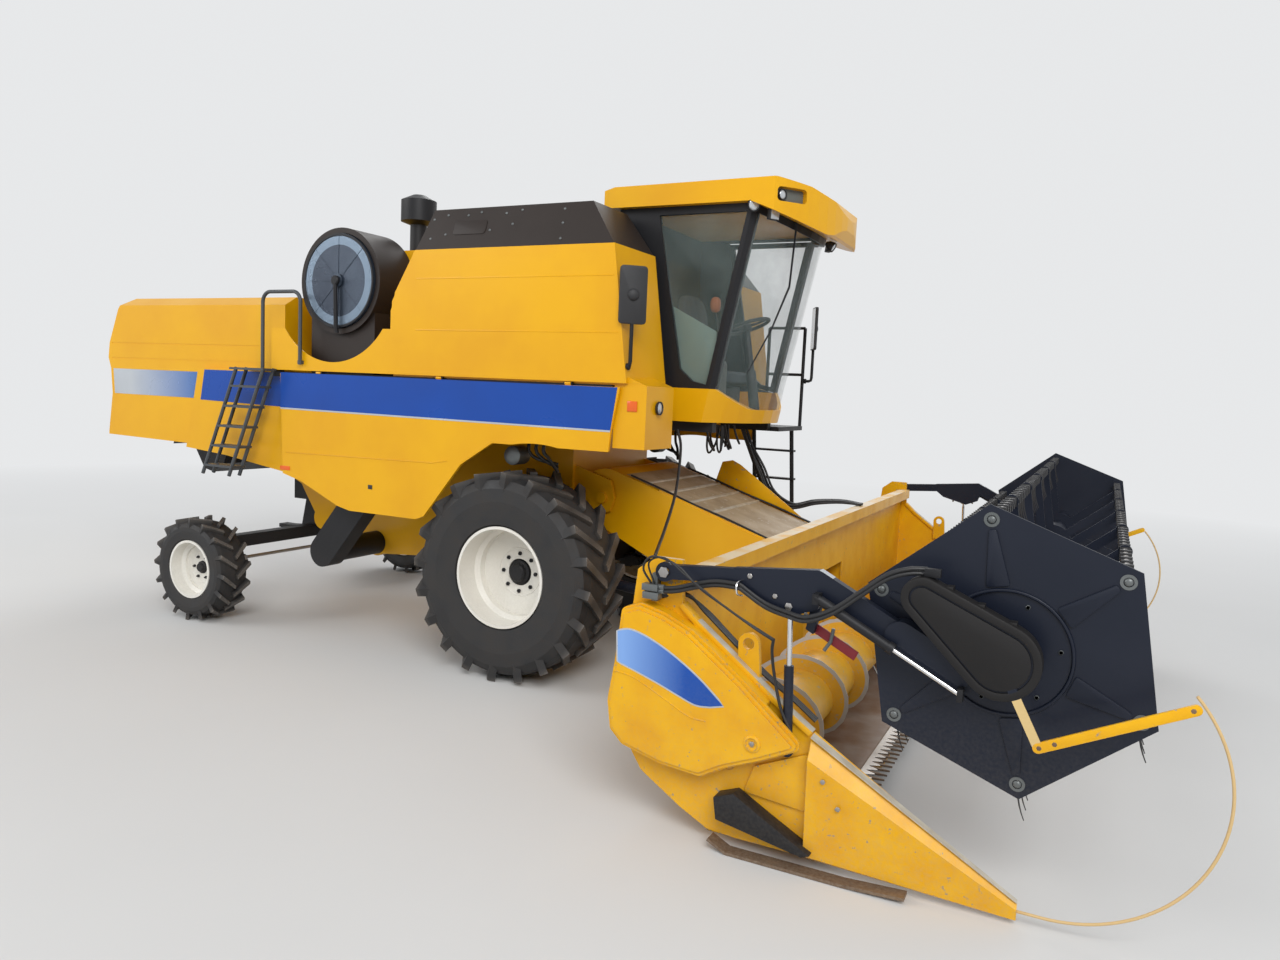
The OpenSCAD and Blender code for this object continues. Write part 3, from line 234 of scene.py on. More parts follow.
def tube(path, radius, sides=8, closed=False):
    path = [Vector(p) for p in path]
    count = len(path)
    radii = radius if isinstance(radius, (list, tuple)) else [radius] * count
    rings, side = [], None
    for i, p in enumerate(path):
        back, ahead = (i - 1, (i + 1) % count) if closed else (max(i - 1, 0), min(i + 1, count - 1))
        along = (path[ahead] - path[back]).normalized()
        side = along.orthogonal().normalized() if side is None else side
        side = (side - along * side.dot(along)).normalized()
        other = along.cross(side)
        rings.append([p + radii[i] * (cos(angle) * side + sin(angle) * other) for angle in turns(sides)])
    return swept(rings, closed)


def hose(points, radius):
    return tube(smoothPath(points, 6), radius, 10)


def pipe(start, end, outer, inner, sides=24):
    start, end = Vector(start), Vector(end)
    side = (end - start).normalized().orthogonal().normalized()
    other = (end - start).normalized().cross(side)
    rays = [cos(angle) * side + sin(angle) * other for angle in turns(sides)]
    corners = ((start, inner), (start, outer), (end, outer), (end, inner))
    return swept([[centre + ray * radius for centre, radius in corners] for ray in rays], True)


def turnedShape(profile, centre, axis="y", steps=48):
    closed = profile[0] == profile[-1]
    ring = profile[:-1] if closed else profile
    size, rings = len(ring), []
    for angle in turns(steps):
        places = [(radius * cos(angle), radius * sin(angle), along) for radius, along in ring]
        local = [{"y": (u, along, v), "z": (u, v, along), "x": (along, u, v)}[axis] for u, v, along in places]
        rings.append([Vector(centre) + Vector(p) for p in local])
    points, faces = swept(rings, True)
    if not closed:
        faces = [face for i, face in enumerate(faces) if (i + 1) % size]
        faces += [list(range(0, steps * size, size)), list(range(size - 1, steps * size, size))[::-1]]
    return points, faces


def bolt(at, radius, height):
    return turnedShape([(radius, 0), (radius, height * 0.8), (radius * 0.8, height)], at, "y", 6)


def dome(centre, radius, height, axis="y", steps=20):
    rise = [(radius * cos(radians(a)), height * sin(radians(a))) for a in (25, 50, 75)]
    return turnedShape([(radius, 0)] + rise, centre, axis, steps)


def cushionShape(half, power=4.5, cells=18, seams=(), along=2, depth=0.011):
    points, faces = [], []
    for axis in range(3):
        for sign in (-1, 1):
            start = len(points)
            for i in range(cells + 1):
                for j in range(cells + 1):
                    p = [0.0, 0.0, 0.0]
                    p[axis], p[(axis + 1) % 3], p[(axis + 2) % 3] = sign, 2 * i / cells - 1, 2 * j / cells - 1
                    size = sum(abs(c) ** power for c in p) ** (1 / power)
                    q = Vector([half[k] * p[k] / size for k in range(3)])
                    for seam in seams:
                        sink = depth * exp(-((q.y - seam) / 0.014) ** 2) * abs(q[along]) / half[along]
                        q[along] -= copysign(sink, q[along])
                    points.append(q)
            for i in range(cells):
                for j in range(cells):
                    a = start + i * (cells + 1) + j
                    faces.append([a, a + cells + 1, a + cells + 2, a + 1])
    return points, faces


# Finishes

def setInput(tree, socket, value):
    if isinstance(value, bpy.types.NodeSocket):
        tree.links.new(value, socket)
    else:
        socket.default_value = (*value, 1.0) if socket.type == "RGBA" else value


def setInputs(tree, node, **inputs):
    for key, value in inputs.items():
        setInput(tree, node.inputs[key.replace("_", " ")], value)


def addNode(tree, kind, settings=None, **inputs):
    node = tree.nodes.new("ShaderNode" + kind)
    for key, value in (settings or {}).items():
        setattr(node, key, value)
    setInputs(tree, node, **inputs)
    return node


def mixColours(tree, factor, first, second):
    node = addNode(tree, "Mix", {"data_type": "RGBA"})
    for index, value in ((0, factor), (6, first), (7, second)):
        setInput(tree, node.inputs[index], value)
    return node.outputs[2]


def ranged(tree, value, low, high, outLow=0.0, outHigh=1.0):
    node = addNode(tree, "MapRange", Value=value, From_Min=low, From_Max=high, To_Min=outLow, To_Max=outHigh)
    return node.outputs["Result"]


def worked(tree, operation, *values, kind="VectorMath"):
    node = addNode(tree, kind, {"operation": operation})
    for socket, value in zip(node.inputs, values):
        setInput(tree, socket, value)
    return node.outputs["Vector" if kind == "VectorMath" and operation in ("SUBTRACT", "MULTIPLY") else "Value"]


def multiplied(tree, first, second):
    product = worked(tree, "MULTIPLY", first, second, kind="Math")
    product.node.use_clamp = True
    return product


def partOf(tree, vector, axis):
    return addNode(tree, "SeparateXYZ", Vector=vector).outputs[axis]


def noise(tree, place, scale, detail, **inputs):
    return addNode(tree, "TexNoise", Vector=place, Scale=scale, Detail=detail, **inputs).outputs["Fac"]


def bumped(tree, height, strength, distance):
    return addNode(tree, "Bump", Strength=strength, Distance=distance, Height=height).outputs["Normal"]


def startMaterial(name):
    material = bpy.data.materials.new(name)
    material.use_nodes = True
    tree = material.node_tree
    return material, tree, tree.nodes["Principled BSDF"], addNode(tree, "TexCoord").outputs["Object"]


def fromAxis(tree, place, x, z):
    # The way from an axis along Y, and the distance to it
    gap = worked(tree, "SUBTRACT", place, (x + axleX, 0, z))
    return gap, worked(tree, "LENGTH", worked(tree, "MULTIPLY", gap, (1, 0, 1)))


def ringMask(tree, place, ring):
    # A band round an axis along Y: centre, least and greatest radius, least |y| and least x from the centre
    gap, reach = fromAxis(tree, place, *ring["centre"])
    mask = multiplied(tree, ranged(tree, reach, ring["low"], ring["low"] + 0.001),
                      ranged(tree, reach, ring["high"], ring["high"] - 0.001))
    aside = worked(tree, "ABSOLUTE", partOf(tree, gap, "Y"), kind="Math")
    mask = multiplied(tree, mask, ranged(tree, aside, ring["aside"], ring["aside"] + 0.0005))
    ahead = ring.get("ahead", -9.0)
    return multiplied(tree, mask, ranged(tree, partOf(tree, gap, "X"), ahead, ahead + 0.001))


def troughColours(tree, base, patches, height, look):
    # Rubbed floor and scraped top rail, both on faces that look up
    up = partOf(tree, addNode(tree, "TexCoord").outputs["Normal"], "Z")
    floor = multiplied(tree, ranged(tree, up, 0.6, 0.85), ranged(tree, height, *look["floorHeight"]))
    rubbed = mixColours(tree, ranged(tree, patches, 0.35, 0.65), *look["floor"])
    base = mixColours(tree, floor, base, rubbed)
    onTop = multiplied(tree, ranged(tree, up, 0.9, 0.98), ranged(tree, height, *look["topHeight"]))
    scraped = multiplied(tree, onTop, ranged(tree, patches, 0.42, 0.55, 0.15, 0.75))
    return mixColours(tree, scraped, base, look["top"])


paintDefaults = {
    "shade": None, "patchScale": 1.6, "grainScale": 60, "roughness": (0.3, 0.42), "bump": 0.02, "metallic": 0.0,
    "coat": 0.0, "specular": 0.5, "dust": (0.36, 0.3, 0.23), "dustTop": 1.1, "dustAmount": 0.0, "wear": None,
    "wearAmount": 0.0, "edge": 0.0, "ring": None, "ringColour": None, "fade": None, "trough": None}
finishes, slots = {}, {}


def makeFinish(name, slot, colour, **changes):
    look = {**paintDefaults, **changes}
    material, tree, shader, place = startMaterial(name)
    patches = noise(tree, place, look["patchScale"], 5.0)
    grain = noise(tree, place, look["grainScale"], 3.0)
    shade = look["shade"] or tuple(0.82 * c for c in colour)
    base = mixColours(tree, ranged(tree, patches, 0.35, 0.7), colour, shade)
    height = partOf(tree, place, "Z")
    dustiness = multiplied(tree, ranged(tree, grain, 0.3, 0.7), ranged(tree, height, look["dustTop"], 0.0))
    base = mixColours(tree, multiplied(tree, dustiness, look["dustAmount"]), base, look["dust"])
    if look["wear"]:
        scuffs = noise(tree, place, look["patchScale"] * 5, 9.0, Roughness=0.7)
        base = mixColours(tree, ranged(tree, scuffs, 0.62 - 0.12 * look["wearAmount"], 0.66), base, look["wear"])
    if look["edge"]:
        soft = addNode(tree, "Bevel", {"samples": 4}, Radius=look["edge"]).outputs["Normal"]
        true = addNode(tree, "NewGeometry").outputs["Normal"]
        bend = ranged(tree, worked(tree, "DOT_PRODUCT", soft, true), 0.97, 0.8)
        base = mixColours(tree, multiplied(tree, bend, ranged(tree, grain, 0.45, 0.6)), base, look["wear"])
    if look["fade"]:
        start, end, other = look["fade"]
        along = ranged(tree, partOf(tree, place, "X"), start + axleX, end + axleX)
        base = mixColours(tree, along, base, other)
    if look["trough"]:
        base = troughColours(tree, base, patches, height, look["trough"])
    if look["ring"]:
        base = mixColours(tree, ringMask(tree, place, look["ring"]), base, look["ringColour"])
    setInputs(tree, shader, Base_Color=base, Roughness=ranged(tree, patches, 0.3, 0.7, *look["roughness"]),
              Normal=bumped(tree, grain, look["bump"], 0.01), Metallic=look["metallic"],
              Coat_Weight=look["coat"], Specular_IOR_Level=look["specular"])
    finishes[name], slots[name] = material, slot


reelAt, augerAt = pivotOf("reel_spin"), pivotOf("auger_spin")
barPlaces = [pivotOf(f"bar_{i}_turn") for i in range(1, 7)]
barEnd = boxOf("tine_bar_1")[1].y

headerPaint = {"shade": (0.7, 0.33, 0.004), "specular": 0.3, "patchScale": 4.5, "wear": (0.3, 0.25, 0.17),
               "wearAmount": 0.06, "edge": 0.007, "dustAmount": 0.22}
navyPaint = {"shade": (0.009, 0.012, 0.023), "specular": 0.28, "roughness": (0.35, 0.5), "coat": 0.05,
             "dustAmount": 0.12}
headerYellow, navy = (0.78, 0.41, 0.003), (0.006, 0.009, 0.019)

makeFinish("yellowPaint", "yellow_paint", (0.76, 0.39, 0.002), shade=(0.7, 0.335, 0.002), coat=0.08, specular=0.3,
           dustAmount=0.35)
makeFinish("headerPaint", "yellow_paint", headerYellow, **{**headerPaint, "wearAmount": 0.04})
makeFinish("headerBodyPaint", "yellow_paint", headerYellow, **headerPaint,
           trough={"floor": ((0.2, 0.12, 0.08), (0.3, 0.24, 0.2)), "floorHeight": (0.42, 0.3),
                   "top": (0.72, 0.66, 0.52), "topHeight": (1.15, 1.2)})
makeFinish("dividerPaint", "yellow_paint", headerYellow, **headerPaint, ringColour=(0.62, 0.43, 0.2),
           ring={"centre": (4.08, 0.74), "low": 0.655, "high": 0.705, "aside": 2.0, "ahead": -0.098})
makeFinish("navyPaint", "navy_paint", navy, **navyPaint)
makeFinish("carrierPaint", "navy_paint", navy, **navyPaint, ringColour=(0.62, 0.45, 0.2),
           ring={"centre": (reelAt.x, reelAt.z), "low": 0.169, "high": 2.0, "aside": 3.1782})
makeFinish("augerPaint", "bare_steel", (0.76, 0.4, 0.01), shade=(0.64, 0.33, 0.02), patchScale=5,
           wear=(0.4, 0.36, 0.3), wearAmount=0.3, dustAmount=0.3, ringColour=(0.42, 0.4, 0.37),
           ring={"centre": (augerAt.x, augerAt.z), "low": 0.272, "high": 0.5, "aside": -1.0})
makeFinish("feederPlate", "yellow_paint", (0.42, 0.32, 0.2), shade=(0.3, 0.22, 0.13), patchScale=4,
           roughness=(0.5, 0.7), wear=(0.55, 0.5, 0.42), wearAmount=0.3, dustAmount=0.2)
makeFinish("blackPaint", "black_paint", (0.012, 0.012, 0.014), specular=0.3, roughness=(0.4, 0.6), dustAmount=0.06)
makeFinish("greyPaint", "black_paint", (0.05, 0.055, 0.06), roughness=(0.4, 0.55), dustAmount=0.3)
makeFinish("brownPaint", "brown_paint", (0.022, 0.015, 0.012), specular=0.3, roughness=(0.45, 0.6))
makeFinish("creamPaint", "cream_paint", (0.78, 0.76, 0.7), shade=(0.72, 0.69, 0.62), roughness=(0.35, 0.5),
           dustTop=1.5, dustAmount=0.18)
makeFinish("crimsonPaint", "bare_steel", (0.22, 0.008, 0.016), roughness=(0.4, 0.5), dustAmount=0.1)
makeFinish("bareSteel", "bare_steel", (0.42, 0.41, 0.4), shade=(0.3, 0.28, 0.26), roughness=(0.28, 0.5),
           metallic=0.9, dustAmount=0.2)
makeFinish("chromeRod", "bare_steel", (0.75, 0.75, 0.76), roughness=(0.1, 0.2), metallic=1.0)
makeFinish("couplerGrey", "bare_steel", (0.16, 0.17, 0.17), shade=(0.1, 0.11, 0.11), roughness=(0.35, 0.5),
           metallic=0.6, dustAmount=0.2)
makeFinish("wornEdge", "yellow_paint", (0.6, 0.55, 0.45), shade=(0.42, 0.36, 0.27), patchScale=9,
           roughness=(0.35, 0.55), metallic=0.3, dustAmount=0.2)
makeFinish("rustySkid", "bare_steel", (0.2, 0.13, 0.08), shade=(0.13, 0.08, 0.05), patchScale=7,
           roughness=(0.5, 0.7), metallic=0.4, dustAmount=0.4)
makeFinish("screenMesh", "bare_steel", (0.06, 0.08, 0.11), shade=(0.03, 0.04, 0.06), roughness=(0.16, 0.3),
           metallic=0.6, grainScale=260, bump=0.25, ringColour=(0.15, 0.2, 0.26),
           ring={"centre": (-1.74, 3.17), "low": 0.3, "high": 0.372, "aside": -1.0})
makeFinish("darkPlastic", "trim_plastic", (0.018, 0.018, 0.02), roughness=(0.45, 0.65), bump=0.08, grainScale=220,
           dustAmount=0.2)
makeFinish("coverPlastic", "trim_plastic", (0.01, 0.009, 0.009), specular=0.3, roughness=(0.5, 0.62), bump=0.06,
           grainScale=240, dustAmount=0.05)
makeFinish("cabTrim", "trim_plastic", (0.12, 0.13, 0.12), roughness=(0.6, 0.75), bump=0.1, grainScale=260)
makeFinish("cabPanel", "trim_plastic", (0.2, 0.29, 0.26), roughness=(0.55, 0.7), bump=0.08, grainScale=200)
makeFinish("seatCloth", "trim_plastic", (0.06, 0.07, 0.08), shade=(0.04, 0.05, 0.06), roughness=(0.85, 0.95),
           bump=0.4, grainScale=400)
makeFinish("hoseRubber", "trim_plastic", (0.012, 0.012, 0.013), roughness=(0.38, 0.55), bump=0.1, grainScale=300,
           dustAmount=0.2)
makeFinish("gripRubber", "trim_plastic", (0.42, 0.12, 0.03), roughness=(0.4, 0.5))
makeFinish("orangeLens", "trim_plastic", (0.8, 0.13, 0.01), roughness=(0.15, 0.25))
makeFinish("redLens", "trim_plastic", (0.45, 0.01, 0.01), roughness=(0.12, 0.2))
makeFinish("lampGlass", "bare_steel", (0.6, 0.62, 0.64), shade=(0.4, 0.42, 0.45), roughness=(0.08, 0.15),
           metallic=0.5)
makeFinish("blueFilm", None, (0.004, 0.06, 0.34), shade=(0.003, 0.05, 0.29), roughness=(0.25, 0.34), specular=0.35)
makeFinish("silverFilm", None, (0.52, 0.55, 0.58), roughness=(0.25, 0.35), metallic=0.4)
makeFinish("headerFilm", None, (0.005, 0.07, 0.36), shade=(0.004, 0.06, 0.3), roughness=(0.25, 0.4), specular=0.35,
           fade=(2.35, 1.98, (0.2, 0.36, 0.7)), dustAmount=0.2)
makeFinish("hoodFilm", None, (0.5, 0.53, 0.56), roughness=(0.25, 0.35), metallic=0.2,
           fade=(-4.6, -3.6, (0.05, 0.15, 0.42)))


def makeTyreFinish(name, centre, outer):
    material, tree, shader, place = startMaterial(name)
    reach = fromAxis(tree, place, centre.x, centre.z)[1]
    grain, patches = noise(tree, place, 90.0, 4.0), noise(tree, place, 6.0, 5.0)
    rubber = mixColours(tree, ranged(tree, patches, 0.35, 0.7), (0.013, 0.013, 0.014), (0.028, 0.025, 0.023))
    tread = ranged(tree, reach, outer - 0.05, outer - 0.004)
    dusty = multiplied(tree, tread, ranged(tree, patches, 0.25, 0.6, 0.25, 0.9))
    base = mixColours(tree, multiplied(tree, dusty, 0.6), rubber, (0.12, 0.105, 0.09))
    tips = multiplied(tree, ranged(tree, reach, outer - 0.012, outer - 0.002), ranged(tree, grain, 0.3, 0.6))
    base = mixColours(tree, multiplied(tree, tips, 0.7), base, (0.2, 0.18, 0.16))
    setInputs(tree, shader, Base_Color=base, Roughness=ranged(tree, patches, 0.3, 0.7, 0.5, 0.8),
              Normal=bumped(tree, grain, 0.25, 0.004))
    return material


def makeGlass(name, colour, alpha):
    material, tree, shader, place = startMaterial(name)
    film = noise(tree, place, 2.5, 6.0)
    setInputs(tree, shader, Base_Color=mixColours(tree, film, colour, tuple(1.25 * c for c in colour)),
              Alpha=ranged(tree, film, 0.3, 0.7, alpha - 0.04, alpha + 0.06),
              Roughness=ranged(tree, film, 0.3, 0.7, 0.03, 0.09), Specular_IOR_Level=0.8)
    return material


finishes["cabGlass"] = makeGlass("cabGlass", (0.2, 0.26, 0.25), 0.13)
nodeFinishes = {
    "yellowPaint": "separator_body grain_tank side_shield_r side_shield_l straw_hood engine_cover cab_base "
                   "cab_roof feeder_house unloader_base unloader_tube",
    "headerPaint": "end_shields",
    "headerBodyPaint": "header_body",
    "dividerPaint": "dividers",
    "navyPaint": "lift_barrels reel_arms reel_barrels reel_frame",
    "carrierPaint": "reel_carriers",
    "blackPaint": "deck chopper engine_block stacks elevators cab_frame cab_door cab_steps front_axle rear_axle "
                  "knuckle_r knuckle_l",
    "greyPaint": "rear_steps",
    "brownPaint": "tank_rim cooling_drum",
    "creamPaint": "rim_front_r rim_front_l rim_rear_r rim_rear_l",
    "bareSteel": "tie_rod knife",
    "rustySkid": "guards",
    "screenMesh": "rotary_screen",
    "chromeRod": "lift_rods reel_rods",
    "cabGlass": "cab_glass cab_door_glass",
    "darkPlastic": "mirrors cab_interior",
}
for corner in ("front_r", "front_l", "rear_r", "rear_l"):
    low, high = boxOf("tyre_" + corner)
    name = "tyreRubber_" + corner
    finishes[name] = makeTyreFinish(name, (low + high) / 2, (high.z - low.z) / 2)
    nodeFinishes[name] = "tyre_" + corner
for finish, names in nodeFinishes.items():
    for name in names.split():
        mesh = frame["nodes"][name].data
        mesh.materials.clear()
        mesh.materials.append(finishes[finish])
print("finishes made")

pieceCount = 0


def makePiece(name, shapes, finish, body="root", bevel=0.0, sharp=35, standsFor=None):
    global pieceCount
    points, faces = joined(shapes)
    mesh = bpy.data.meshes.new(name)
    mesh.from_pydata([Vector(p) + axle for p in points], [], faces)
    form = bmesh.new()
    form.from_mesh(mesh)
    bmesh.ops.remove_doubles(form, verts=form.verts, dist=1e-6)
    bmesh.ops.recalc_face_normals(form, faces=form.faces)
    if bevel:
        edges = [e for e in form.edges if len(e.link_faces) == 2 and e.calc_face_angle(0) > radians(30)]
        bmesh.ops.bevel(form, geom=edges, offset=bevel, segments=2, profile=0.5, affect="EDGES", clamp_overlap=True)
    form.to_mesh(mesh)
    form.free()
    mesh.shade_smooth()
    mesh.set_sharp_from_angle(angle=radians(sharp))
    piece = bpy.data.objects.new(name, mesh)
    bpy.context.scene.collection.objects.link(piece)
    mesh.materials.append(finishes[finish])
    if body:
        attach(piece, body)
    if standsFor:
        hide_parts(standsFor)
    pieceCount += 1
    return piece


def makeBlendedHose(name, routes, radius):
    # Runs between two bodies, so it rides on neither
    piece = makePiece(name, [hose(route, radius) for route in routes], "hoseRubber", None)
    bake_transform(piece)


# Side stripes: thin film plates just proud of the panels

stripe = {"gap": 0.0004, "proud": 0.0015, "low": 2.072, "high": 2.383, "edge": 0.014, "hoodY": (1.47, 1.40)}


def makeStripes(look):
    shieldLow, shieldHigh = boxOf("side_shield_r")
    shieldY = max(abs(shieldLow.y), abs(shieldHigh.y))
    low, edge, top = look["low"], look["low"] - look["edge"], min(look["high"], shieldHigh.z - 0.018)
    films = [
        ("shield_stripe_", "blueFilm", shieldY,
         [(-2.344, low), (0.978, low - 0.014), (1.022, top - 0.01), (-2.344, top)]),
        ("shield_stripe_edge_", "silverFilm", shieldY,
         [(-2.344, edge), (0.976, edge - 0.014), (0.978, low - 0.0145), (-2.344, low - 0.0005)]),
        ("middle_stripe_", "blueFilm", look["hoodY"][0],
         [(-3.485, low + 0.02), (-2.37, low), (-2.37, 2.375), (-3.43, 2.375)]),
        ("hood_stripe_", "hoodFilm", look["hoodY"][1],
         [(-4.86, 2.10), (-3.53, 2.10), (-3.53, 2.35), (-4.88, 2.35)])]
    for side in "rl":
        for name, finish, y, outline in films:
            film = prism(outline, y + look["gap"], y + look["gap"] + look["proud"])
            makePiece(name + side, onSide(side, [film]), finish, "shield_" + side if y == shieldY else "root")


makeStripes(stripe)
print("stripes made")


# Reel: tubes with curved tines

tine = {"pitch": 0.125, "length": 0.2, "curl": 0.055, "root": 0.0065, "tip": 0.0025, "tubeRadius": 0.019,
        "chamfer": 0.003, "bare": 0.2, "steps": 6, "clipLow": (-0.026, -0.015, -0.03),
        "clipHigh": (0.026, 0.015, 0.025)}


def makeTineBars(look):
    radius, steps, chamfer = look["tubeRadius"], look["steps"], look["chamfer"]
    profile = [(radius - chamfer, -barEnd), (radius, chamfer - barEnd), (radius, barEnd - chamfer),
               (radius - chamfer, barEnd)]
    count = int((2 * barEnd - look["bare"]) / look["pitch"])
    marks = [k / steps for k in range(steps + 1)]
    radii = [look["root"] + (look["tip"] - look["root"]) * t for t in marks]
    for i, at in enumerate(barPlaces, 1):
        tines = []
        for k in range(count + 1):
            foot = Vector((at.x, (k - count / 2) * look["pitch"], at.z))
            path = [foot + Vector((look["curl"] * (t * t - 0.35 * t), 0, -radius * 0.4 - look["length"] * t))
                    for t in marks]
            tines += [tube(path, radii, 6), brick(foot + Vector(look["clipLow"]), foot + Vector(look["clipHigh"]))]
        node = f"tine_bar_{i}"
        makePiece(f"bar_tube_{i}", [turnedShape(profile, (at.x, 0, at.z), "y", 20)], "bareSteel", f"bar_{i}",
                  standsFor=node)
        makePiece(f"bar_tines_{i}", tines, "darkPlastic", f"bar_{i}", standsFor=node)


makeTineBars(tine)
print("tine bars made")


# Auger: tube with two flights that run to the middle, and fingers between them

flight = {"tube": 0.2, "outer": 0.3, "pitch": 0.56, "inner": 0.6, "sheet": 0.006, "steps": 20, "shaft": 0.034,
          "endGap": 0.05, "fingers": 12, "fingerTurn": 75, "fingerReach": (0.18, 0.29), "fingerRadius": 0.008}


def flightShape(look, length):
    count = int(length / look["pitch"] * look["steps"])
    root, half = look["tube"] - 0.01, look["sheet"] / 2
    rings = []
    for k in range(count + 1):
        reach = length * k / count
        x, z = polar((0, 0), 1, 2 * pi * reach / look["pitch"])
        rings.append([(radius * x, look["inner"] + reach + offset, radius * z) for radius, offset in (
            (root, -half), (look["outer"], -half), (look["outer"], half), (root, half))])
    return swept(rings)


def makeAuger(look):
    low, high = boxOf("auger")
    end = high.y - look["endGap"]
    flights = flightShape(look, end - look["inner"])
    drum = pair([flights]) + [turnedShape([(look["tube"], -end), (look["tube"], end)], (0, 0, 0), "y", 64),
                              turnedShape([(look["shaft"], low.y), (look["shaft"], high.y)], (0, 0, 0), "y", 32)]
    fingers = []
    for i in range(look["fingers"]):
        middle = Vector((0, -0.5 + i / (look["fingers"] - 1), 0))
        x, z = polar((0, 0), 1, radians(look["fingerTurn"] * i))
        ray = Vector((x, 0, z))
        fingers.append(tube([middle + ray * reach for reach in look["fingerReach"]], look["fingerRadius"], 10))
    for name, shapes, finish in (("auger_drum", drum, "augerPaint"), ("auger_fingers", fingers, "bareSteel")):
        makePiece(name, [shifted(shape, (augerAt.x, 0, augerAt.z)) for shape in shapes], finish, "screw",
                  standsFor="auger")


makeAuger(flight)
print("auger made")


# Reel: pressed ribs, hub rings and corner washers on both end shields

shieldLook = {"hubRing": (0.275, 0.295), "flange": (0.06, 0.1), "proud": 0.014, "boltRing": 0.235,
              "rib": [(0.3, -0.052), (0.56, -0.016), (0.56, 0.016), (0.3, 0.052)]}


def makeReelShields(look):
    face, proud = barEnd - 0.003, look["proud"]
    centre, middle = (reelAt.x, face, reelAt.z), Vector((reelAt.x, reelAt.z))
    (inner, outer), (hole, rim) = look["hubRing"], look["flange"]
    ring = [(inner, 0), (inner + 0.004, proud), (outer - 0.004, proud), (outer, 0), (inner, 0)]
    flange = [(hole, 0), (hole, 0.012), (rim - 0.004, 0.012), (rim, 0.008), (rim, 0), (hole, 0)]
    shapes = [turnedShape(ring, centre, "y", 72), turnedShape(flange, centre)]
    washers, bolts = [], []
    for at in barPlaces:
        out = Vector((at.x - reelAt.x, at.z - reelAt.z)).normalized()
        corners = [middle + out * reach + Vector((-out.y, out.x)) * aside for reach, aside in look["rib"]]
        shapes.append(prism(rounded(corners, 0.014, 4), face, face + proud * 0.8))
        for spread in (-30, 30):
            x, z = polar(middle, look["boltRing"], atan2(out.y, out.x) + radians(spread))
            bolts.append(bolt((x, face, z), 0.011, 0.008))
        washers.append(turnedShape([(0.021, 0), (0.034, 0), (0.034, 0.004), (0.021, 0.004), (0.021, 0)],
                                   (at.x, face, at.z), "y", 32))
    makePiece("reel_shield_ribs", pair(shapes), "navyPaint", "reel", 0.003)
    makePiece("reel_shield_washers", pair(washers + bolts), "couplerGrey", "reel")
    for i, at in enumerate(barPlaces, 1):
        makePiece(f"bar_caps_{i}", pair([dome((at.x, barEnd, at.z), 0.018, 0.008)]), "couplerGrey", f"bar_{i}")


makeReelShields(shieldLook)
print("reel shields dressed")


# Reel drive cover on the right carrier, and the crop bars

cover = {"small": (reelAt.x - 0.345, reelAt.z + 0.235), "big": (reelAt.x, reelAt.z), "radii": (0.092, 0.168),
         "rim": (-3.1868, -3.0985), "middle": (-3.1861, -3.15), "outset": 0.003, "rimWidth": 0.037, "groove": 0.008,
         "clips": (0.15, 0.5, 0.85), "clipLow": (-0.016, -3.17, -0.008), "clipHigh": (0.016, -3.11, 0.012)}


def makeDriveCover(look):
    small, big = Vector(look["small"]), Vector(look["big"])

    def outlineAt(outset):
        return teardrop(small, look["radii"][0] + outset, big, look["radii"][1] + outset)

    outset, inset = look["outset"], look["outset"] - look["rimWidth"]
    makePiece("drive_cover_rim", [band(outlineAt(outset), outlineAt(inset), *look["rim"])], "coverPlastic",
              "carriers", 0.005)
    makePiece("drive_cover_middle", [prism(outlineAt(inset - look["groove"]), *look["middle"])], "coverPlastic",
              "carriers", 0.003)
    clips = []
    way = (big - small).normalized()
    for t in look["clips"]:
        reach = look["radii"][0] * (1 - t) + look["radii"][1] * t + 0.004
        p = small.lerp(big, t) + Vector((-way.y, way.x)) * reach
        clips.append(shifted(brick(look["clipLow"], look["clipHigh"]), (p.x, 0, p.y)))
    makePiece("drive_cover_clips", clips, "coverPlastic", "carriers", 0.002)


makeDriveCover(cover)

cropBar = {"line": [(4.016, 0.898), (4.577, 1.177)], "half": 0.0225, "plateY": (3.1735, 3.1867), "boltY": 3.1858}


def makeCropBars(look):
    first, last = (Vector(p) for p in look["line"])
    way = (last - first).normalized()
    lean, half = degrees(atan2(way.y, way.x)), look["half"]
    outline = arc(first, half, lean + 90, lean + 270, 10) + arc(last, half, lean - 90, lean + 90, 10)
    makePiece("crop_bar_plates", pair([prism(outline, *look["plateY"])]), "headerPaint", "carriers", 0.0008)
    heads = [turnedShape([(0.011, 0), (0.011, 0.001), (0.008, 0.002)], (p.x, look["boltY"], p.y), "y", 6)
             for p in (first + way * 0.004, first + way * 0.07, last - way * 0.01)]
    makePiece("crop_bar_bolts", pair(heads), "rustySkid", "carriers")


makeCropBars(cropBar)
print("drive cover dressed")


# Arms: bolts, worn edge, reach cylinders, hoses and their clip

armLook = {
    "pivot": pivotOf("reel_lift"), "face": 3.09, "wornEdge": [(2.995, 1.525), (3.06, 1.492)],
    "boltPlaces": [(2.645, 1.455, 0.014), (2.78, 1.372, 0.013), (2.852, 1.33, 0.02), (2.99, 1.372, 0.014),
                   (2.74, 1.31, 0.01), (2.94, 1.305, 0.01)],
    "foot": (3.02, 3.142, 1.393), "reachWay": (0.8912, 0, -0.4536), "barrel": 0.024, "bore": 0.0125, "rod": 0.0115,
    "clip": [(2.61, -3.09, 1.432), (2.60, -3.15, 1.42), (2.605, -3.155, 1.37), (2.612, -3.1, 1.352)]}


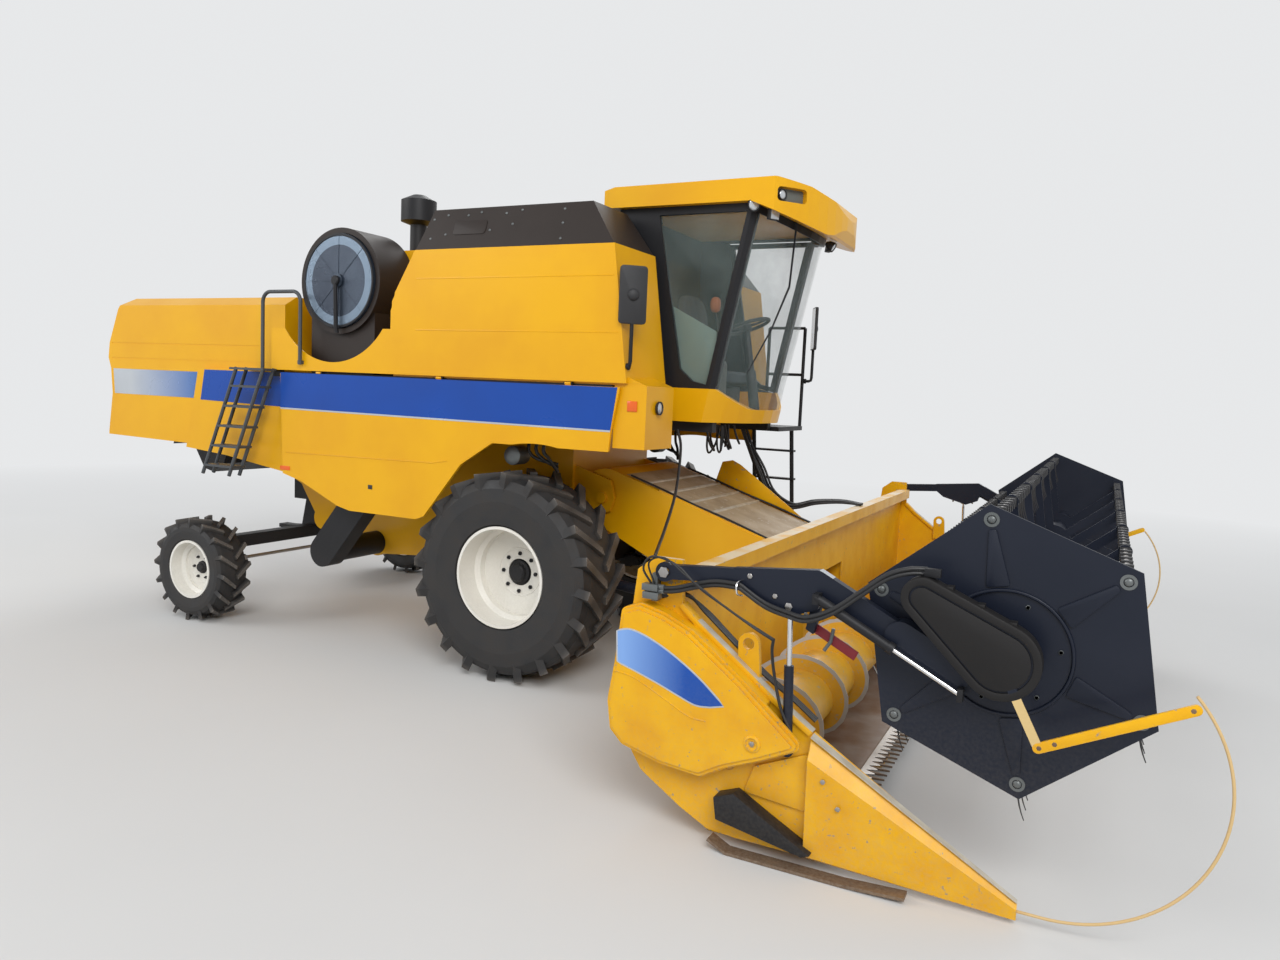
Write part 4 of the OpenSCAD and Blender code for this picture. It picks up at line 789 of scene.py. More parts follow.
def makeArmDetail(look):
    face, pivot, foot = look["face"], look["pivot"], Vector(look["foot"])

    def at(t):
        return foot + Vector(look["reachWay"]) * t

    bolts = [bolt((x, face, z), radius, 0.009) for x, z, radius in look["boltPlaces"]]
    bolts.append(bolt((pivot.x, face + 0.006, pivot.z), 0.03, 0.012))
    makePiece("arm_bolts", pair(bolts), "bareSteel", "arms")
    edge = prism(ribbon(look["wornEdge"], 0.004, 0.0), face - 0.05, face)
    makePiece("arm_worn_edges", pair([edge]), "silverFilm", "arms")
    barrel = [pipe(foot, at(0.4), look["barrel"], look["bore"]),
              pipe(at(0.37), at(0.4), look["barrel"] + 0.005, look["bore"]),
              pipe(at(-0.03), at(0.012), 0.02, 0.004),
              brick((foot.x - 0.035, face, foot.z - 0.02), (foot.x - 0.005, foot.y + 0.018, foot.z + 0.03))]
    makePiece("reach_barrels", pair(barrel), "blackPaint", "arms")
    eye = at(0.74)
    makePiece("reach_rods", pair([pipe(at(0.385), eye, look["rod"], 0.0005)]), "chromeRod", "carriers")
    lug = brick((eye.x - 0.012, 3.109, eye.z - 0.03), (eye.x + 0.014, eye.y + 0.02, eye.z + 0.03))
    makePiece("reach_lugs", pair([lug]), "blackPaint", "carriers", 0.003)
    makePiece("hose_clip", [tube(smoothPath(look["clip"], 8), 0.005, 8)], "chromeRod", "arms")


makeArmDetail(armLook)

armHoses = {
    "radius": 0.0105, "offsets": (0.0, 0.021),
    "back": {"bodies": ("header", "arms"), "start": (2.25, -3.11, 1.325), "end": (2.476, -3.112, 1.389),
             "route": [(2.15, -3.10, 1.31), (2.25, -3.11, 1.325), (2.36, -3.112, 1.36), (2.476, -3.112, 1.389),
                       (2.60, -3.112, 1.390)]},
    "front": {"bodies": ("arms", "carriers"), "start": (3.0, -3.12, 1.4), "end": (3.42, -3.12, 1.4),
              "route": [(2.60, -3.112, 1.390), (2.735, -3.118, 1.318), (2.855, -3.13, 1.291), (2.965, -3.16, 1.288),
                        (3.089, -3.172, 1.346), (3.211, -3.172, 1.445), (3.329, -3.172, 1.541),
                        (3.42, -3.16, 1.578), (3.5, -3.14, 1.585)]},
    "fitting": ((3.49, -3.155, 1.572), (3.56, -3.12, 1.61)),
    "couplers": [((2.07, -3.13, 1.27), (2.16, -3.075, 1.305)), ((2.06, -3.12, 1.31), (2.15, -3.07, 1.345)),
                 ((2.10, -3.08, 1.25), (2.13, -3.03, 1.40))],
    "loose": [(0.006, [(2.1, -3.09, 1.345), (2.07, -3.13, 1.43), (2.13, -3.148, 1.5), (2.27, -3.148, 1.47),
                       (2.4, -3.148, 1.37), (2.55, -3.148, 1.29), (2.7, -3.145, 1.21), (2.8, -3.135, 1.16)]),
              (0.005, [(2.12, -3.09, 1.345), (2.1, -3.13, 1.46), (2.2, -3.15, 1.5), (2.33, -3.15, 1.42),
                       (2.48, -3.15, 1.33), (2.62, -3.148, 1.255), (2.8, -3.14, 1.17)]),
              (0.008, [(2.8, -3.138, 1.17), (2.79, -3.12, 1.1), (2.8, -3.095, 0.98), (2.84, -3.09, 0.82),
                       (2.9, -3.085, 0.7)])]}


def makeArmHoses(look):
    for label in ("back", "front"):
        part = look[label]
        routes = [[(x, y, z + offset) for x, y, z in part["route"]] for offset in look["offsets"]]
        makeBlendedHose("arm_hoses_" + label, routes, look["radius"])
    fitting = [brick(*look["fitting"]), pipe((3.47, -3.14, 1.585), (3.5, -3.14, 1.585), 0.016, 0.002, 6)]
    makePiece("drive_fitting", fitting, "blackPaint", "carriers", 0.003)
    blocks = [brick(*block) for block in look["couplers"]]
    blocks += [pipe((2.15, -3.10, z), (2.185, -3.105, z + 0.004), 0.015, 0.002, 6) for z in (1.312, 1.333)]
    makePiece("hose_couplers", blocks, "couplerGrey", "header", 0.003)
    makePiece("loose_hoses", [hose(route, radius) for radius, route in look["loose"]], "hoseRubber", "header")


makeArmHoses(armHoses)
print("arms dressed")


# Header: rails along the end sheets, hoses, end shield bands

headerLook = {"face": 3.15, "boss": (2.724, 0.627), "railY": (2.982, 3.048), "wornY": (2.988, 3.042),
              "frontBolt": (2.9, 3.118, 0.66), "hoseY": -2.955, "hoseStep": 0.018,
              "rail": [(2.262, 1.25), (2.35, 1.168), (2.584, 0.994), (2.808, 0.826), (2.992, 0.703)],
              "bandTop": [(1.945, 1.078), (2.02, 1.094), (2.13, 1.066), (2.27, 1.0), (2.42, 0.905), (2.56, 0.79)],
              "bandLow": [(2.49, 0.772), (2.41, 0.768), (2.31, 0.8), (2.2, 0.84), (2.06, 0.885), (1.955, 0.915)],
              "swage": [(1.93, 0.862), (2.05, 0.845), (2.2, 0.78), (2.37, 0.7), (2.47, 0.69)],
              "hoses": [(2.36, 1.2), (2.478, 1.105), (2.696, 0.93), (2.86, 0.825), (2.985, 0.735)]}


def makeHeaderDetail(look):
    face, (bossX, bossZ) = look["face"], look["boss"]
    rail = prism(ribbon(look["rail"], 0.007, 0.022), *look["railY"])
    makePiece("end_rails", pair([rail]), "headerPaint", "header", 0.003)
    worn = prism(ribbon(look["rail"][1:], 0.0085, -0.0066), *look["wornY"])
    makePiece("end_rails_worn", pair([worn]), "wornEdge", "header")
    outline = smoothPath(look["bandTop"], 5) + smoothPath(look["bandLow"], 5)
    makePiece("shield_bands", pair([prism(outline, face + 0.0008, face + 0.0022)]), "headerFilm", "header")
    makePiece("shield_band_edges", pair([prism(grown(outline, 0.009), face + 0.0002, face + 0.0012)]), "silverFilm",
              "header")
    swage = smoothPath([(x, face, z) for x, z in look["swage"]], 6)
    makePiece("shield_swages", pair([tube(swage, 0.004, 8)]), "headerPaint", "header")
    boss = turnedShape([(0.012, 0), (0.03, 0.004), (0.032, 0.012), (0.044, 0.006), (0.046, 0.0), (0.012, 0)],
                       (bossX, face - 0.001, bossZ), "y", 40)
    makePiece("shield_bosses", pair([boss]), "headerPaint", "header")
    bolts = [bolt((bossX, face, bossZ), 0.014, 0.008), bolt(look["frontBolt"], 0.012, 0.008)]
    makePiece("shield_bolts", pair(bolts), "bareSteel", "header")
    lines = []
    for i in range(3):
        start = [(2.14, -3.04, 1.29 - 0.01 * i), (2.25, -2.957 - 0.012 * i, 1.285)]
        y = look["hoseY"] + look["hoseStep"] * i
        lines.append(hose(start + [(x, y, z) for x, z in look["hoses"]], 0.0085))
    makePiece("rail_hoses", lines, "hoseRubber", "header")


makeHeaderDetail(headerLook)


# Dividers: wedges, plates, skids, worn ridges; and the crimson lever by the right arm

dividerLook = {
    "wedge": [(2.523, 0.295), (2.632, 0.338), (2.8, 0.245), (3.043, 0.118), (3.0, 0.1), (2.541, 0.18)],
    "plate": [(2.706, 0.472), (2.99, 0.6), (2.99, 0.3), (2.66, 0.328)],
    "skid": [(2.5, 0.06), (2.6, 0.012), (3.2, 0.012), (3.5, 0.03)],
    "wedgeY": (3.032, 3.13), "plateY": (3.031, 3.05), "skidY": (3.04, 3.12),
    "ridge": [((3.0, 3.052, 0.692), 0.03), ((3.98, 3.018, 0.11), 0.012)], "bolts": ((3.08, 0.5), (3.16, 0.38)),
    "lever": [(2.93, 1.24), (3.175, 1.112)], "leverY": (-3.002, -2.99),
    "pin": [(3.06, -3.012, 1.235), (3.05, -3.012, 1.17), (3.02, -3.014, 1.12)],
    "bracket": [(2.93, 1.22), (2.97, 1.2), (3.0, 1.34), (2.95, 1.34)], "bracketY": (-3.05, -3.002)}


def makeDividerDetail(look):
    makePiece("divider_wedges", pair([prism(look["wedge"], *look["wedgeY"])]), "blackPaint", "header", 0.006)
    plate = prism(rounded(look["plate"], 0.02, 4), *look["plateY"])
    makePiece("divider_plates", pair([plate]), "headerPaint", "header", 0.003)
    skid = prism(ribbon(look["skid"], 0.006, 0.01), *look["skidY"])
    makePiece("divider_skids", pair([skid]), "rustySkid", "header")
    ridge = swept([[Vector(p) + Vector((0, side * half, lift)) for side, lift in (
        (-1, 0.004), (1, 0.0), (1, 0.0045), (-1, 0.0085))] for p, half in look["ridge"]])
    makePiece("divider_worn_ridges", pair([ridge]), "wornEdge", "header")
    heads = [bolt((x, 3.115 - (x - 3.0) * 0.07, z), 0.013, 0.007) for x, z in look["bolts"]]
    makePiece("divider_bolts", pair(heads), "bareSteel", "header")
    lever = prism(ribbon(look["lever"], 0.024, 0.024), *look["leverY"])
    makePiece("crimson_lever", [lever], "crimsonPaint", "arms", 0.002)
    makePiece("lever_pin", [tube(look["pin"], 0.009, 10)], "couplerGrey", "arms")
    makePiece("lever_bracket", [prism(look["bracket"], *look["bracketY"])], "navyPaint", "arms", 0.003)


makeDividerDetail(dividerLook)
print("header dressed")


# Feeder: worn top plates with cross ribs, a fin on the left edge, a lip on the right edge, hoses

feeder = {"pivot": pivotOf("header_lift"), "radius": 0.24, "front": (1.92, 1.225), "half": 0.56,
          "ribs": (0.2, 0.34, 0.48, 0.62), "ends": (0.06, 0.98), "finY": (0.606, 0.618), "lipY": (-0.612, -0.6),
          "hoseY": (-0.585, 0.585, 0.57), "hoseMarks": (0.1, 0.3, 0.5, 0.7, 0.9, 0.97), "hoseLift": 0.018,
          "fin": [(0.3, 0.0), (0.93, 0.0), (0.9, 0.02), (0.42, 0.24), (0.36, 0.25), (0.3, 0.2)]}


def makeFeederTop(look):
    centre, front, half = Vector((look["pivot"].x, look["pivot"].z)), Vector(look["front"]), look["half"]
    gap = front - centre
    lean = atan2(gap.y, gap.x) + acos(look["radius"] / gap.length)
    rear = Vector(polar(centre, look["radius"], lean))
    normal = Vector((-(front - rear).y, (front - rear).x)).normalized()

    def along(*places):
        return [rear.lerp(front, t) + normal * lift for t, lift in places]

    marks = (look["ends"][0], *look["ribs"], look["ends"][1])
    plates = [along((first + 0.004, 0.0005), (last - 0.004, 0.0005), (last - 0.004, 0.004), (first + 0.004, 0.004))
              for first, last in zip(marks, marks[1:])]
    ribs = [along((t - 0.011, 0.0), (t + 0.011, 0.0), (t + 0.008, 0.014), (t - 0.008, 0.014)) for t in look["ribs"]]
    makePiece("feeder_plates", [prism(plate, -half, half) for plate in plates], "feederPlate", "header")
    makePiece("feeder_ribs", [prism(rib, -half, half) for rib in ribs], "wornEdge", "header", 0.002)
    makePiece("feeder_fin", [prism(along(*look["fin"]), *look["finY"])], "headerPaint", "header", 0.002)
    lip = ribbon(along((0.3, 0.0), (0.96, 0.0)), 0.012, 0.0)
    makePiece("feeder_lip", [prism(lip, *look["lipY"])], "headerPaint", "header")
    route = along(*((t, look["hoseLift"]) for t in look["hoseMarks"]))
    lines = [hose([(x, y + 0.012 * sin(9 * x), z) for x, z in route], 0.008) for y in look["hoseY"]]
    makePiece("feeder_hoses", lines, "hoseRubber", "header")


makeFeederTop(feeder)


# Hoses under the cab

def makeCabHoses():
    random.seed(7)
    bundle, tangle = [], []
    for _ in range(7):
        dx, dy, dz = (random.uniform(-0.05, 0.05) for _ in range(3))
        bundle.append([(1.18 + dx, 0.70 + dy, 2.06), (1.24 + dx, 0.72 + dy, 1.9), (1.36 + dx, 0.74 + dy, 1.66 + dz),
                       (1.47 + dx, 0.76 + dy, 1.44 + dz), (1.66 + dx, 0.8 + dy, 1.36 + dz * 0.4),
                       (1.86 + dx, 0.85 + dy, 1.41 + dz * 0.3), (2.06, 0.92 + dy, 1.43 + dz * 0.2),
                       (2.24, 0.98 + dy, 1.415)])
    makeBlendedHose("cab_hose_bundle", bundle, 0.011)
    for _ in range(9):
        x, y = random.uniform(1.12, 1.3), random.uniform(-0.42, 0.42)
        dx, dy = random.uniform(-0.06, 0.12), random.uniform(-0.2, 0.2)
        low = random.uniform(1.83, 1.93)
        tangle.append(hose([(x, y, 2.09), (x + dx * 0.3, y + dy * 0.2, low + 0.09), (x + dx, y + dy * 0.5, low),
                            (x + dx * 0.8, y + dy, low + 0.06), (x + dx * 0.4, y + dy * 1.2, 2.09)], 0.009))
    makePiece("cab_hose_loops", tangle, "hoseRubber")
    route = [(1.17, -0.8, 2.06), (1.24, -0.88, 1.92), (1.36, -1.2, 1.62), (1.52, -1.7, 1.42), (1.74, -2.3, 1.34),
             (1.93, -2.8, 1.27), (2.04, -3.0, 1.27), (2.09, -3.07, 1.29)]
    makeBlendedHose("long_header_hose", [route], 0.011)


makeCabHoses()
print("feeder dressed")


# Cab: seat, steering wheel, console and inner panel

seat = {"base": ((1.02, -0.2, 2.17), (1.30, 0.2, 2.43)), "cushion": (0.22, 0.25, 0.062),
        "cushionAt": (1.19, 0, 2.49), "back": (0.048, 0.245, 0.325), "backAt": (0.93, 0, 2.865), "lean": 11,
        "seams": (-0.13, 0.0, 0.13)}
cabNode = "cab_interior"


def makeSeat(look):
    makePiece("seat_base", [brick(*look["base"])], "darkPlastic", bevel=0.02, standsFor=cabNode)
    lean = Matrix.Translation(look["backAt"]) @ Matrix.Rotation(radians(-look["lean"]), 4, "Y")
    cushion = shifted(cushionShape(look["cushion"], seams=look["seams"]), look["cushionAt"])
    back = moved(cushionShape(look["back"], seams=look["seams"], along=0), lean)
    for name, shape in (("seat_cushion", cushion), ("seat_back", back)):
        makePiece(name, [shape], "seatCloth", sharp=70, standsFor=cabNode)


makeSeat(seat)

steering = {"foot": (1.515, 0, 2.18), "wheelAt": (1.40, 0, 2.93), "radius": 0.19, "rim": 0.015, "tilt": -20,
            "plate": ((1.455, -0.08, 2.17), (1.575, 0.08, 2.184)),
            "console": [(1.0, 2.17), (1.37, 2.17), (1.37, 2.6), (1.3, 2.69), (1.0, 2.69)],
            "consoleY": (-0.64, -0.32), "panelY": (-0.742, -0.736), "spokes": (0, 120, 240),
            "button": (1.06, -0.4, 2.689), "buttonSteps": (0.05, -0.06),
            "stalk": [(1.32, -0.48, 2.66), (1.34, -0.48, 2.8), (1.33, -0.49, 2.92), (1.31, -0.5, 3.02)],
            "boot": [(1.32, -0.48, 2.685), (1.322, -0.48, 2.7), (1.324, -0.48, 2.725)],
            "grip": (0.042, 0.03, 0.062), "gripAt": (1.312, -0.5, 3.06),
            "panel": [(0.985, 3.06), (1.435, 2.83), (1.425, 2.34), (1.10, 2.47)]}


def makeSteering(look):
    foot, top, radius = Vector(look["foot"]), Vector(look["wheelAt"]), look["radius"]
    turn = Matrix.Translation(top) @ Matrix.Rotation(radians(look["tilt"]), 4, "Y")
    circle = [(x, y, 0) for x, y in arc((0, 0), radius, 0, 360 * 47 / 48, 47)]
    wheel = [tube(circle, look["rim"], 12, closed=True),
             turnedShape([(0.03, -0.045), (0.045, 0.0), (0.045, 0.012), (0.03, 0.02)], (0, 0, 0), "z", 24)]
    for spoke in look["spokes"]:
        out = Vector((*polar((0, 0), 1, radians(spoke)), 0))
        wheel.append(tube([out * 0.03, out * 0.1 - Vector((0, 0, 0.006)), out * radius], [0.013, 0.01, 0.011], 10))
    column = [tube([foot.lerp(top, t) for t in (0, 0.5, 0.52, 0.95)], [0.045, 0.04, 0.03, 0.024], 16),
              brick(*look["plate"])]
    stalk = [tube(smoothPath(look["stalk"], 6), 0.01, 12), tube(look["boot"], [0.05, 0.035, 0.012], 20)]
    button = turnedShape([(0.012, 0), (0.012, 0.006), (0.009, 0.009)], look["button"], "z", 16)
    stepX, stepY = look["buttonSteps"]
    buttons = [shifted(button, (stepX * i, stepY * j, 0)) for i in range(3) for j in range(3)]
    grip = shifted(cushionShape(look["grip"], 2.6, 10), look["gripAt"])
    for name, shapes, finish, bevel, sharp in (
            ("steering_wheel", [moved(part, turn) for part in wheel], "darkPlastic", 0.0, 35),
            ("steering_column", column, "darkPlastic", 0.002, 35),
            ("cab_console", [prism(rounded(look["console"], 0.03, 4), *look["consoleY"])], "cabTrim", 0.006, 35),
            ("control_stalk", stalk, "darkPlastic", 0.0, 35),
            ("control_grip", [grip], "gripRubber", 0.0, 70),
            ("console_buttons", buttons, "orangeLens", 0.0, 35),
            ("cab_inner_panel", [prism(rounded(look["panel"], 0.02, 4), *look["panelY"])], "cabPanel", 0.001, 35)):
        makePiece(name, shapes, finish, bevel=bevel, sharp=sharp, standsFor=cabNode)


makeSteering(steering)
print("cab fitted")


# Mirrors: x, y, the stem's foot and the head's turn for each

mirror = {"low": 2.82, "high": 3.23, "half": 0.1, "stem": 0.014, "height": 2.52, "frame": 0.012,
          "places": [(1.10, -1.52, 1.0745, -50), (1.57, 1.40, 1.4965, 26)]}


def makeMirrors(look):
    heads, stems, hubs, glass = [], [], [], []
    low, high, height = look["low"], look["high"], look["height"]

    def outlineAt(inset, radius):
        half, bottom, top = look["half"] - inset, low + inset, high - inset
        return rounded([(-half, bottom), (half, bottom), (half, top), (-half, top)], radius, 6)

    for x, y, foot, turn in look["places"]:
        spin = Matrix.Translation((x, y, 0)) @ Matrix.Rotation(radians(turn + 90), 4, "Z")
        heads.append(moved(prism(outlineAt(0, 0.032), -0.015, 0.012), spin))
        glass.append(moved(prism(outlineAt(look["frame"], 0.024), 0.012, 0.0135), spin))
        hubs.append(moved(dome((0, -0.014, (low + high) / 2), 0.045, -0.022, "y", 24), spin))
        stems += [tube([(foot, y, height), (x - 0.025, y, height), (x - 0.006, y, height + 0.008),
                        (x, y, height + 0.035), (x, y, low + 0.16)], look["stem"], 14),
                  turnedShape([(0.024, 0), (0.024, 0.02), (0.016, 0.024)], (foot, y, height), "x", 20)]
    for name, shapes, finish, bevel in (
            ("mirror_heads", heads, "darkPlastic", 0.005), ("mirror_stems", stems, "blackPaint", 0.0),
            ("mirror_hubs", hubs, "darkPlastic", 0.0), ("mirror_glass", glass, "lampGlass", 0.0)):
        makePiece(name, shapes, finish, bevel=bevel, standsFor="mirrors")


makeMirrors(mirror)
print("mirrors made")


# Lamps: place, direction, radius and depth; then roof and work lamps and the wiper

def facing(place, direction):
    turn = Vector((1, 0, 0)).rotation_difference(Vector(direction).normalized())
    return Matrix.Translation(place) @ turn.to_matrix().to_4x4()


lampList = [((1.921, -0.794, 3.825), (0.9, -0.44, 0), 0.04, 0.03),
            ((1.921, 0.794, 3.825), (0.9, 0.44, 0), 0.04, 0.03),
            ((1.72, -0.838, 3.755), (0.7, -0.7, -0.15), 0.05, 0.045),
            ((1.72, 0.838, 3.755), (0.7, 0.7, -0.15), 0.05, 0.045),
            ((2.11, -0.04, 3.555), (1, 0, -0.6), 0.04, 0.07), ((1.262, -1.33, 2.23), (1, 0, 0), 0.05, 0.03),
            ((1.262, 1.33, 2.23), (1, 0, 0), 0.05, 0.03)]


def makeLamps(places):
    bowls, lenses = [], []
    for centre, direction, radius, depth in places:
        place = facing(centre, direction)
        profile = [(radius * 0.45, -depth), (radius * 0.85, -depth * 0.6), (radius, -0.012), (radius, 0.004),
                   (radius - 0.005, 0.004), (radius - 0.007, -0.004)]
        bowls.append(moved(turnedShape(profile, (0, 0, 0), "x", 32), place))
        lenses.append(moved(dome((-0.005, 0, 0), radius - 0.007, 0.009, "x", 32), place))
    makePiece("lamp_bowls", bowls, "darkPlastic")
    makePiece("lamp_lenses", lenses, "lampGlass")


makeLamps(lampList)

cabFittings = {"wiper": [(1.925, -0.44, 3.705), (1.858, -0.33, 3.215), (1.757, -0.412, 2.873),
                         (1.628, -0.545, 2.53)],
               "liner": ((0.0005, -0.127, -0.049), (0.005, 0.127, 0.049)),
               "box": ((-0.045, -0.042, -0.042), (0.0, 0.042, 0.042)),
               "face": ((0.0, -0.036, -0.036), (0.003, 0.036, 0.036))}


def makeCabFittings(look):
    liners, boxes, faces = [], [], []
    for sign in (-1, 1):
        roof = facing((1.939, sign * 0.719, 3.825), (0.8, sign * 0.6, 0))
        work = facing((1.864, sign * 0.775, 3.69), (0.8, sign * 0.55, -0.1))
        liners.append(moved(brick(*look["liner"]), roof))
        faces.append(moved(brick(*look["face"]), work))
        boxes += [moved(brick(*look["box"]), work),
                  tube([(1.84, sign * 0.765, 3.72), (1.835, sign * 0.76, 3.79)], 0.012, 10)]
    makePiece("roof_lamp_liners", liners, "cabTrim", bevel=0.001)
    makePiece("work_lamp_boxes", boxes, "darkPlastic", bevel=0.004)
    makePiece("work_lamp_faces", faces, "lampGlass", bevel=0.001)
    route = look["wiper"]
    hub = turnedShape([(0.02, -0.012), (0.024, 0.0), (0.02, 0.016)], route[0], "x", 20)
    arms = [tube(route[:2], 0.008, 10), tube(route[1:], [0.009, 0.007, 0.005], 10)]
    makePiece("wiper", arms + [hub], "blackPaint")


makeCabFittings(cabFittings)


# Tank: rivets, access lids and pressed lines; filters and hoses in the wheel arches

tankLook = {"rivets": [(-0.75, 3.64), (-0.74, 3.48), (-0.62, 3.67), (-0.6, 3.51), (-0.42, 3.66), (-0.3, 3.68),
                       (-0.18, 3.53), (-0.06, 3.66), (0.02, 3.57), (0.08, 3.68), (0.46, 3.67), (0.47, 3.56),
                       (0.48, 3.44)],
            "foot": (1.5405, 3.39), "slope": (0.12, 0.33), "lidHeight": 3.56,
            "folds": [(3.165, 0.955), (2.76, 1.01)], "foldRear": -0.84, "foldY": (1.549, 1.5525),
            "lid": [(-0.53, -0.06), (-0.22, -0.06), (-0.22, 0.06), (-0.53, 0.06)],
            "filter": [(0.06, 1.2), (0.075, 1.21), (0.075, 1.36), (0.06, 1.37), (0.03, 1.375)]}


def makeTankDetail(look):
    inward, rise = look["slope"]
    lean = Matrix.Rotation(atan2(inward, rise), 4, "X")

    def onFace(shape, x, z):
        y = look["foot"][0] - (z - look["foot"][1]) * inward / rise
        return moved(shape, Matrix.Translation((x, y, z)) @ lean)

    rivets = [onFace(dome((0, 0, 0), 0.011, 0.007, "y", 12), x, z) for x, z in look["rivets"]]
    makePiece("tank_rivets", pair(rivets), "couplerGrey")
    lid = onFace(prism(rounded(look["lid"], 0.03, 6), 0.0, 0.004), 0, look["lidHeight"])
    makePiece("tank_lids", pair([lid]), "brownPaint", bevel=0.0015)
    folds = [prism(ribbon([(look["foldRear"], z), (x, z)], 0.005, 0.005), *look["foldY"]) for z, x in look["folds"]]
    makePiece("tank_folds", pair(folds), "yellowPaint", bevel=0.0015)
    makePiece("arch_filters", pair([turnedShape(look["filter"], (0.0, 0, 1.8), "y", 32)]), "couplerGrey")
    lines = [hose([(0.1 + 0.07 * i, 1.2, 2.0), (0.08 + 0.07 * i, 1.25, 1.86), (0.14 + 0.06 * i, 1.22, 1.78),
                   (0.3, 1.15, 1.74 - 0.03 * i)], 0.014) for i in range(3)]
    makePiece("arch_hoses", pair(lines), "hoseRubber")


makeTankDetail(tankLook)
print("tank dressed")


# Side markers, reflectors, latches and pressed folds

fittings = {"marker": ((1.09, 1.5135, 2.20), (1.17, 1.522, 2.275)),
            "reflector": ((-2.34, 1.5505, 1.52), (-2.22, 1.5535, 1.556)),
            "latch": ((-1.31, 1.5505, 1.435), (-1.265, 1.5555, 1.47)),
            "fold": [(-2.269, 1.679), (-0.644, 1.704), (-0.494, 1.731)], "foldY": (1.5502, 1.5545)}


def makeFittings(look):
    makePiece("side_markers", pair([brick(*look["marker"])]), "orangeLens", bevel=0.003)
    fold = prism(ribbon(look["fold"], 0.004, 0.004), *look["foldY"])
    for name, shape, finish, bevel in (("side_reflectors_", brick(*look["reflector"]), "orangeLens", 0.001),
                                       ("shield_latch_", brick(*look["latch"]), "darkPlastic", 0.002),
                                       ("shield_fold_", fold, "yellowPaint", 0.0015)):
        for side in "rl":
            makePiece(name + side, onSide(side, [shape]), finish, "shield_" + side, bevel)


makeFittings(fittings)
print("lamps and fittings made")


# Wheels: hub caps, nuts and a ridge round them

wheelLook = {"front": {"face": 1.197, "cap": 0.098, "nuts": 8, "ring": 0.155, "nut": 0.017, "height": 0.06},
             "rear": {"face": 1.476, "cap": 0.058, "nuts": 6, "ring": 0.107, "nut": 0.014, "height": 0.04}}


def makeWheelTrim(look):
    for end, sizes in look.items():
        face, cap, height, ring = (sizes[key] for key in ("face", "cap", "height", "ring"))
        profile = [(cap, 0), (cap, 0.012), (cap * 0.78, 0.02), (cap * 0.74, height * 0.8), (cap * 0.62, height)]
        plate = [(ring + 0.035 + r, along) for r, along in ((0.002, 0), (0.004, 0.004), (0.01, 0.004), (0.012, 0))]
        for side in "rl":
            low, high = boxOf(f"tyre_{end}_{side}")
            x, z = (low.x + high.x) / 2, (low.z + high.z) / 2
            nuts = []
            for k in range(sizes["nuts"]):
                nutX, nutZ = polar((x, z), ring, 2 * pi * k / sizes["nuts"])
                at = (nutX, face, nutZ)
                nuts += [bolt(at, sizes["nut"], 0.016), turnedShape([(0.007, 0.01), (0.007, 0.026)], at, "y", 12)]
            for name, shapes, finish in (
                    ("hub_cap", [turnedShape(profile, (x, face + 0.0005, z), "y", 40)], "blackPaint"),
                    ("hub_nuts", nuts, "blackPaint"),
                    ("rim_ridge", [turnedShape(plate + plate[:1], (x, face, z))], "creamPaint")):
                makePiece(f"{name}_{end}_{side}", onSide(side, shapes), finish, f"wheel_{end}_{side}")


makeWheelTrim(wheelLook)
print("wheels dressed")


# Rotary screen: rim, ribs and the fixed suction arm

screenLook = {"at": (-1.74, 3.17), "face": 1.49, "radius": 0.395, "ribs": 8, "armY": -1.522}


def makeScreenDetail(look):
    face, radius, at, armY = look["face"], look["radius"], Vector(look["at"]), look["armY"]
    rim = turnedShape([(radius - 0.022, 0), (radius - 0.018, 0.006), (radius - 0.002, 0.006), (radius - 0.001, 0),
                       (radius - 0.022, 0)], (at.x, face, at.y), "y", 64)
    ribs = []
    for k in range(look["ribs"]):
        angle = 2 * pi * k / look["ribs"]
        line = [polar(at, 0.06, angle), polar(at, radius - 0.02, angle)]
        ribs.append(prism(ribbon(line, 0.005, 0.005), face, face + 0.003))
    makePiece("screen_rim", onSide("r", [rim]), "blackPaint", "screen")
    makePiece("screen_ribs", onSide("r", ribs), "screenMesh", "screen")
    path = [(at.x, armY, at.y), (at.x + 0.012, armY, at.y - 0.38), (at.x + 0.015, armY + 0.012, at.y - 0.44)]
    hub = turnedShape([(0.03, 1.503), (0.04, 1.51), (0.04, 1.53), (0.03, 1.538)], (at.x, 0, at.y), "y", 28)
    makePiece("screen_arm", [tube(path, 0.017, 14), mirrored(hub)], "blackPaint")


makeScreenDetail(screenLook)
print("screen dressed")


# Rear lamps and indicators

for name, finish, places, half in (("rear_lamps", "redLens", (-0.95, 0.95), 0.06),
                                   ("rear_indicators", "orangeLens", (-1.06, 1.06), 0.03)):
    lamps = [brick((-5.005, y - half, 1.705), (-4.962, y + half, 1.785)) for y in places]
    makePiece(name, lamps, finish, bevel=0.006)
print("rear fitted")


# Stage: pale floor that runs into a pale backdrop, soft studio light

studio = {"floor": (0.62, 0.615, 0.6), "backdrop": (0.8, 0.81, 0.82), "fadeFrom": 8.0, "fadeTo": 19.0,
          "sky": (0.9, 0.94, 1.0), "skyLevel": 0.56, "reach": 120}


def mixShaders(tree, factor, first, second, output):
    blend = tree.nodes.new("ShaderNodeMixShader")
    for socket, value in zip(blend.inputs, (factor, first.outputs[0], second.outputs[0])):
        tree.links.new(value, socket)
    tree.links.new(blend.outputs[0], tree.nodes[output].inputs["Surface"])


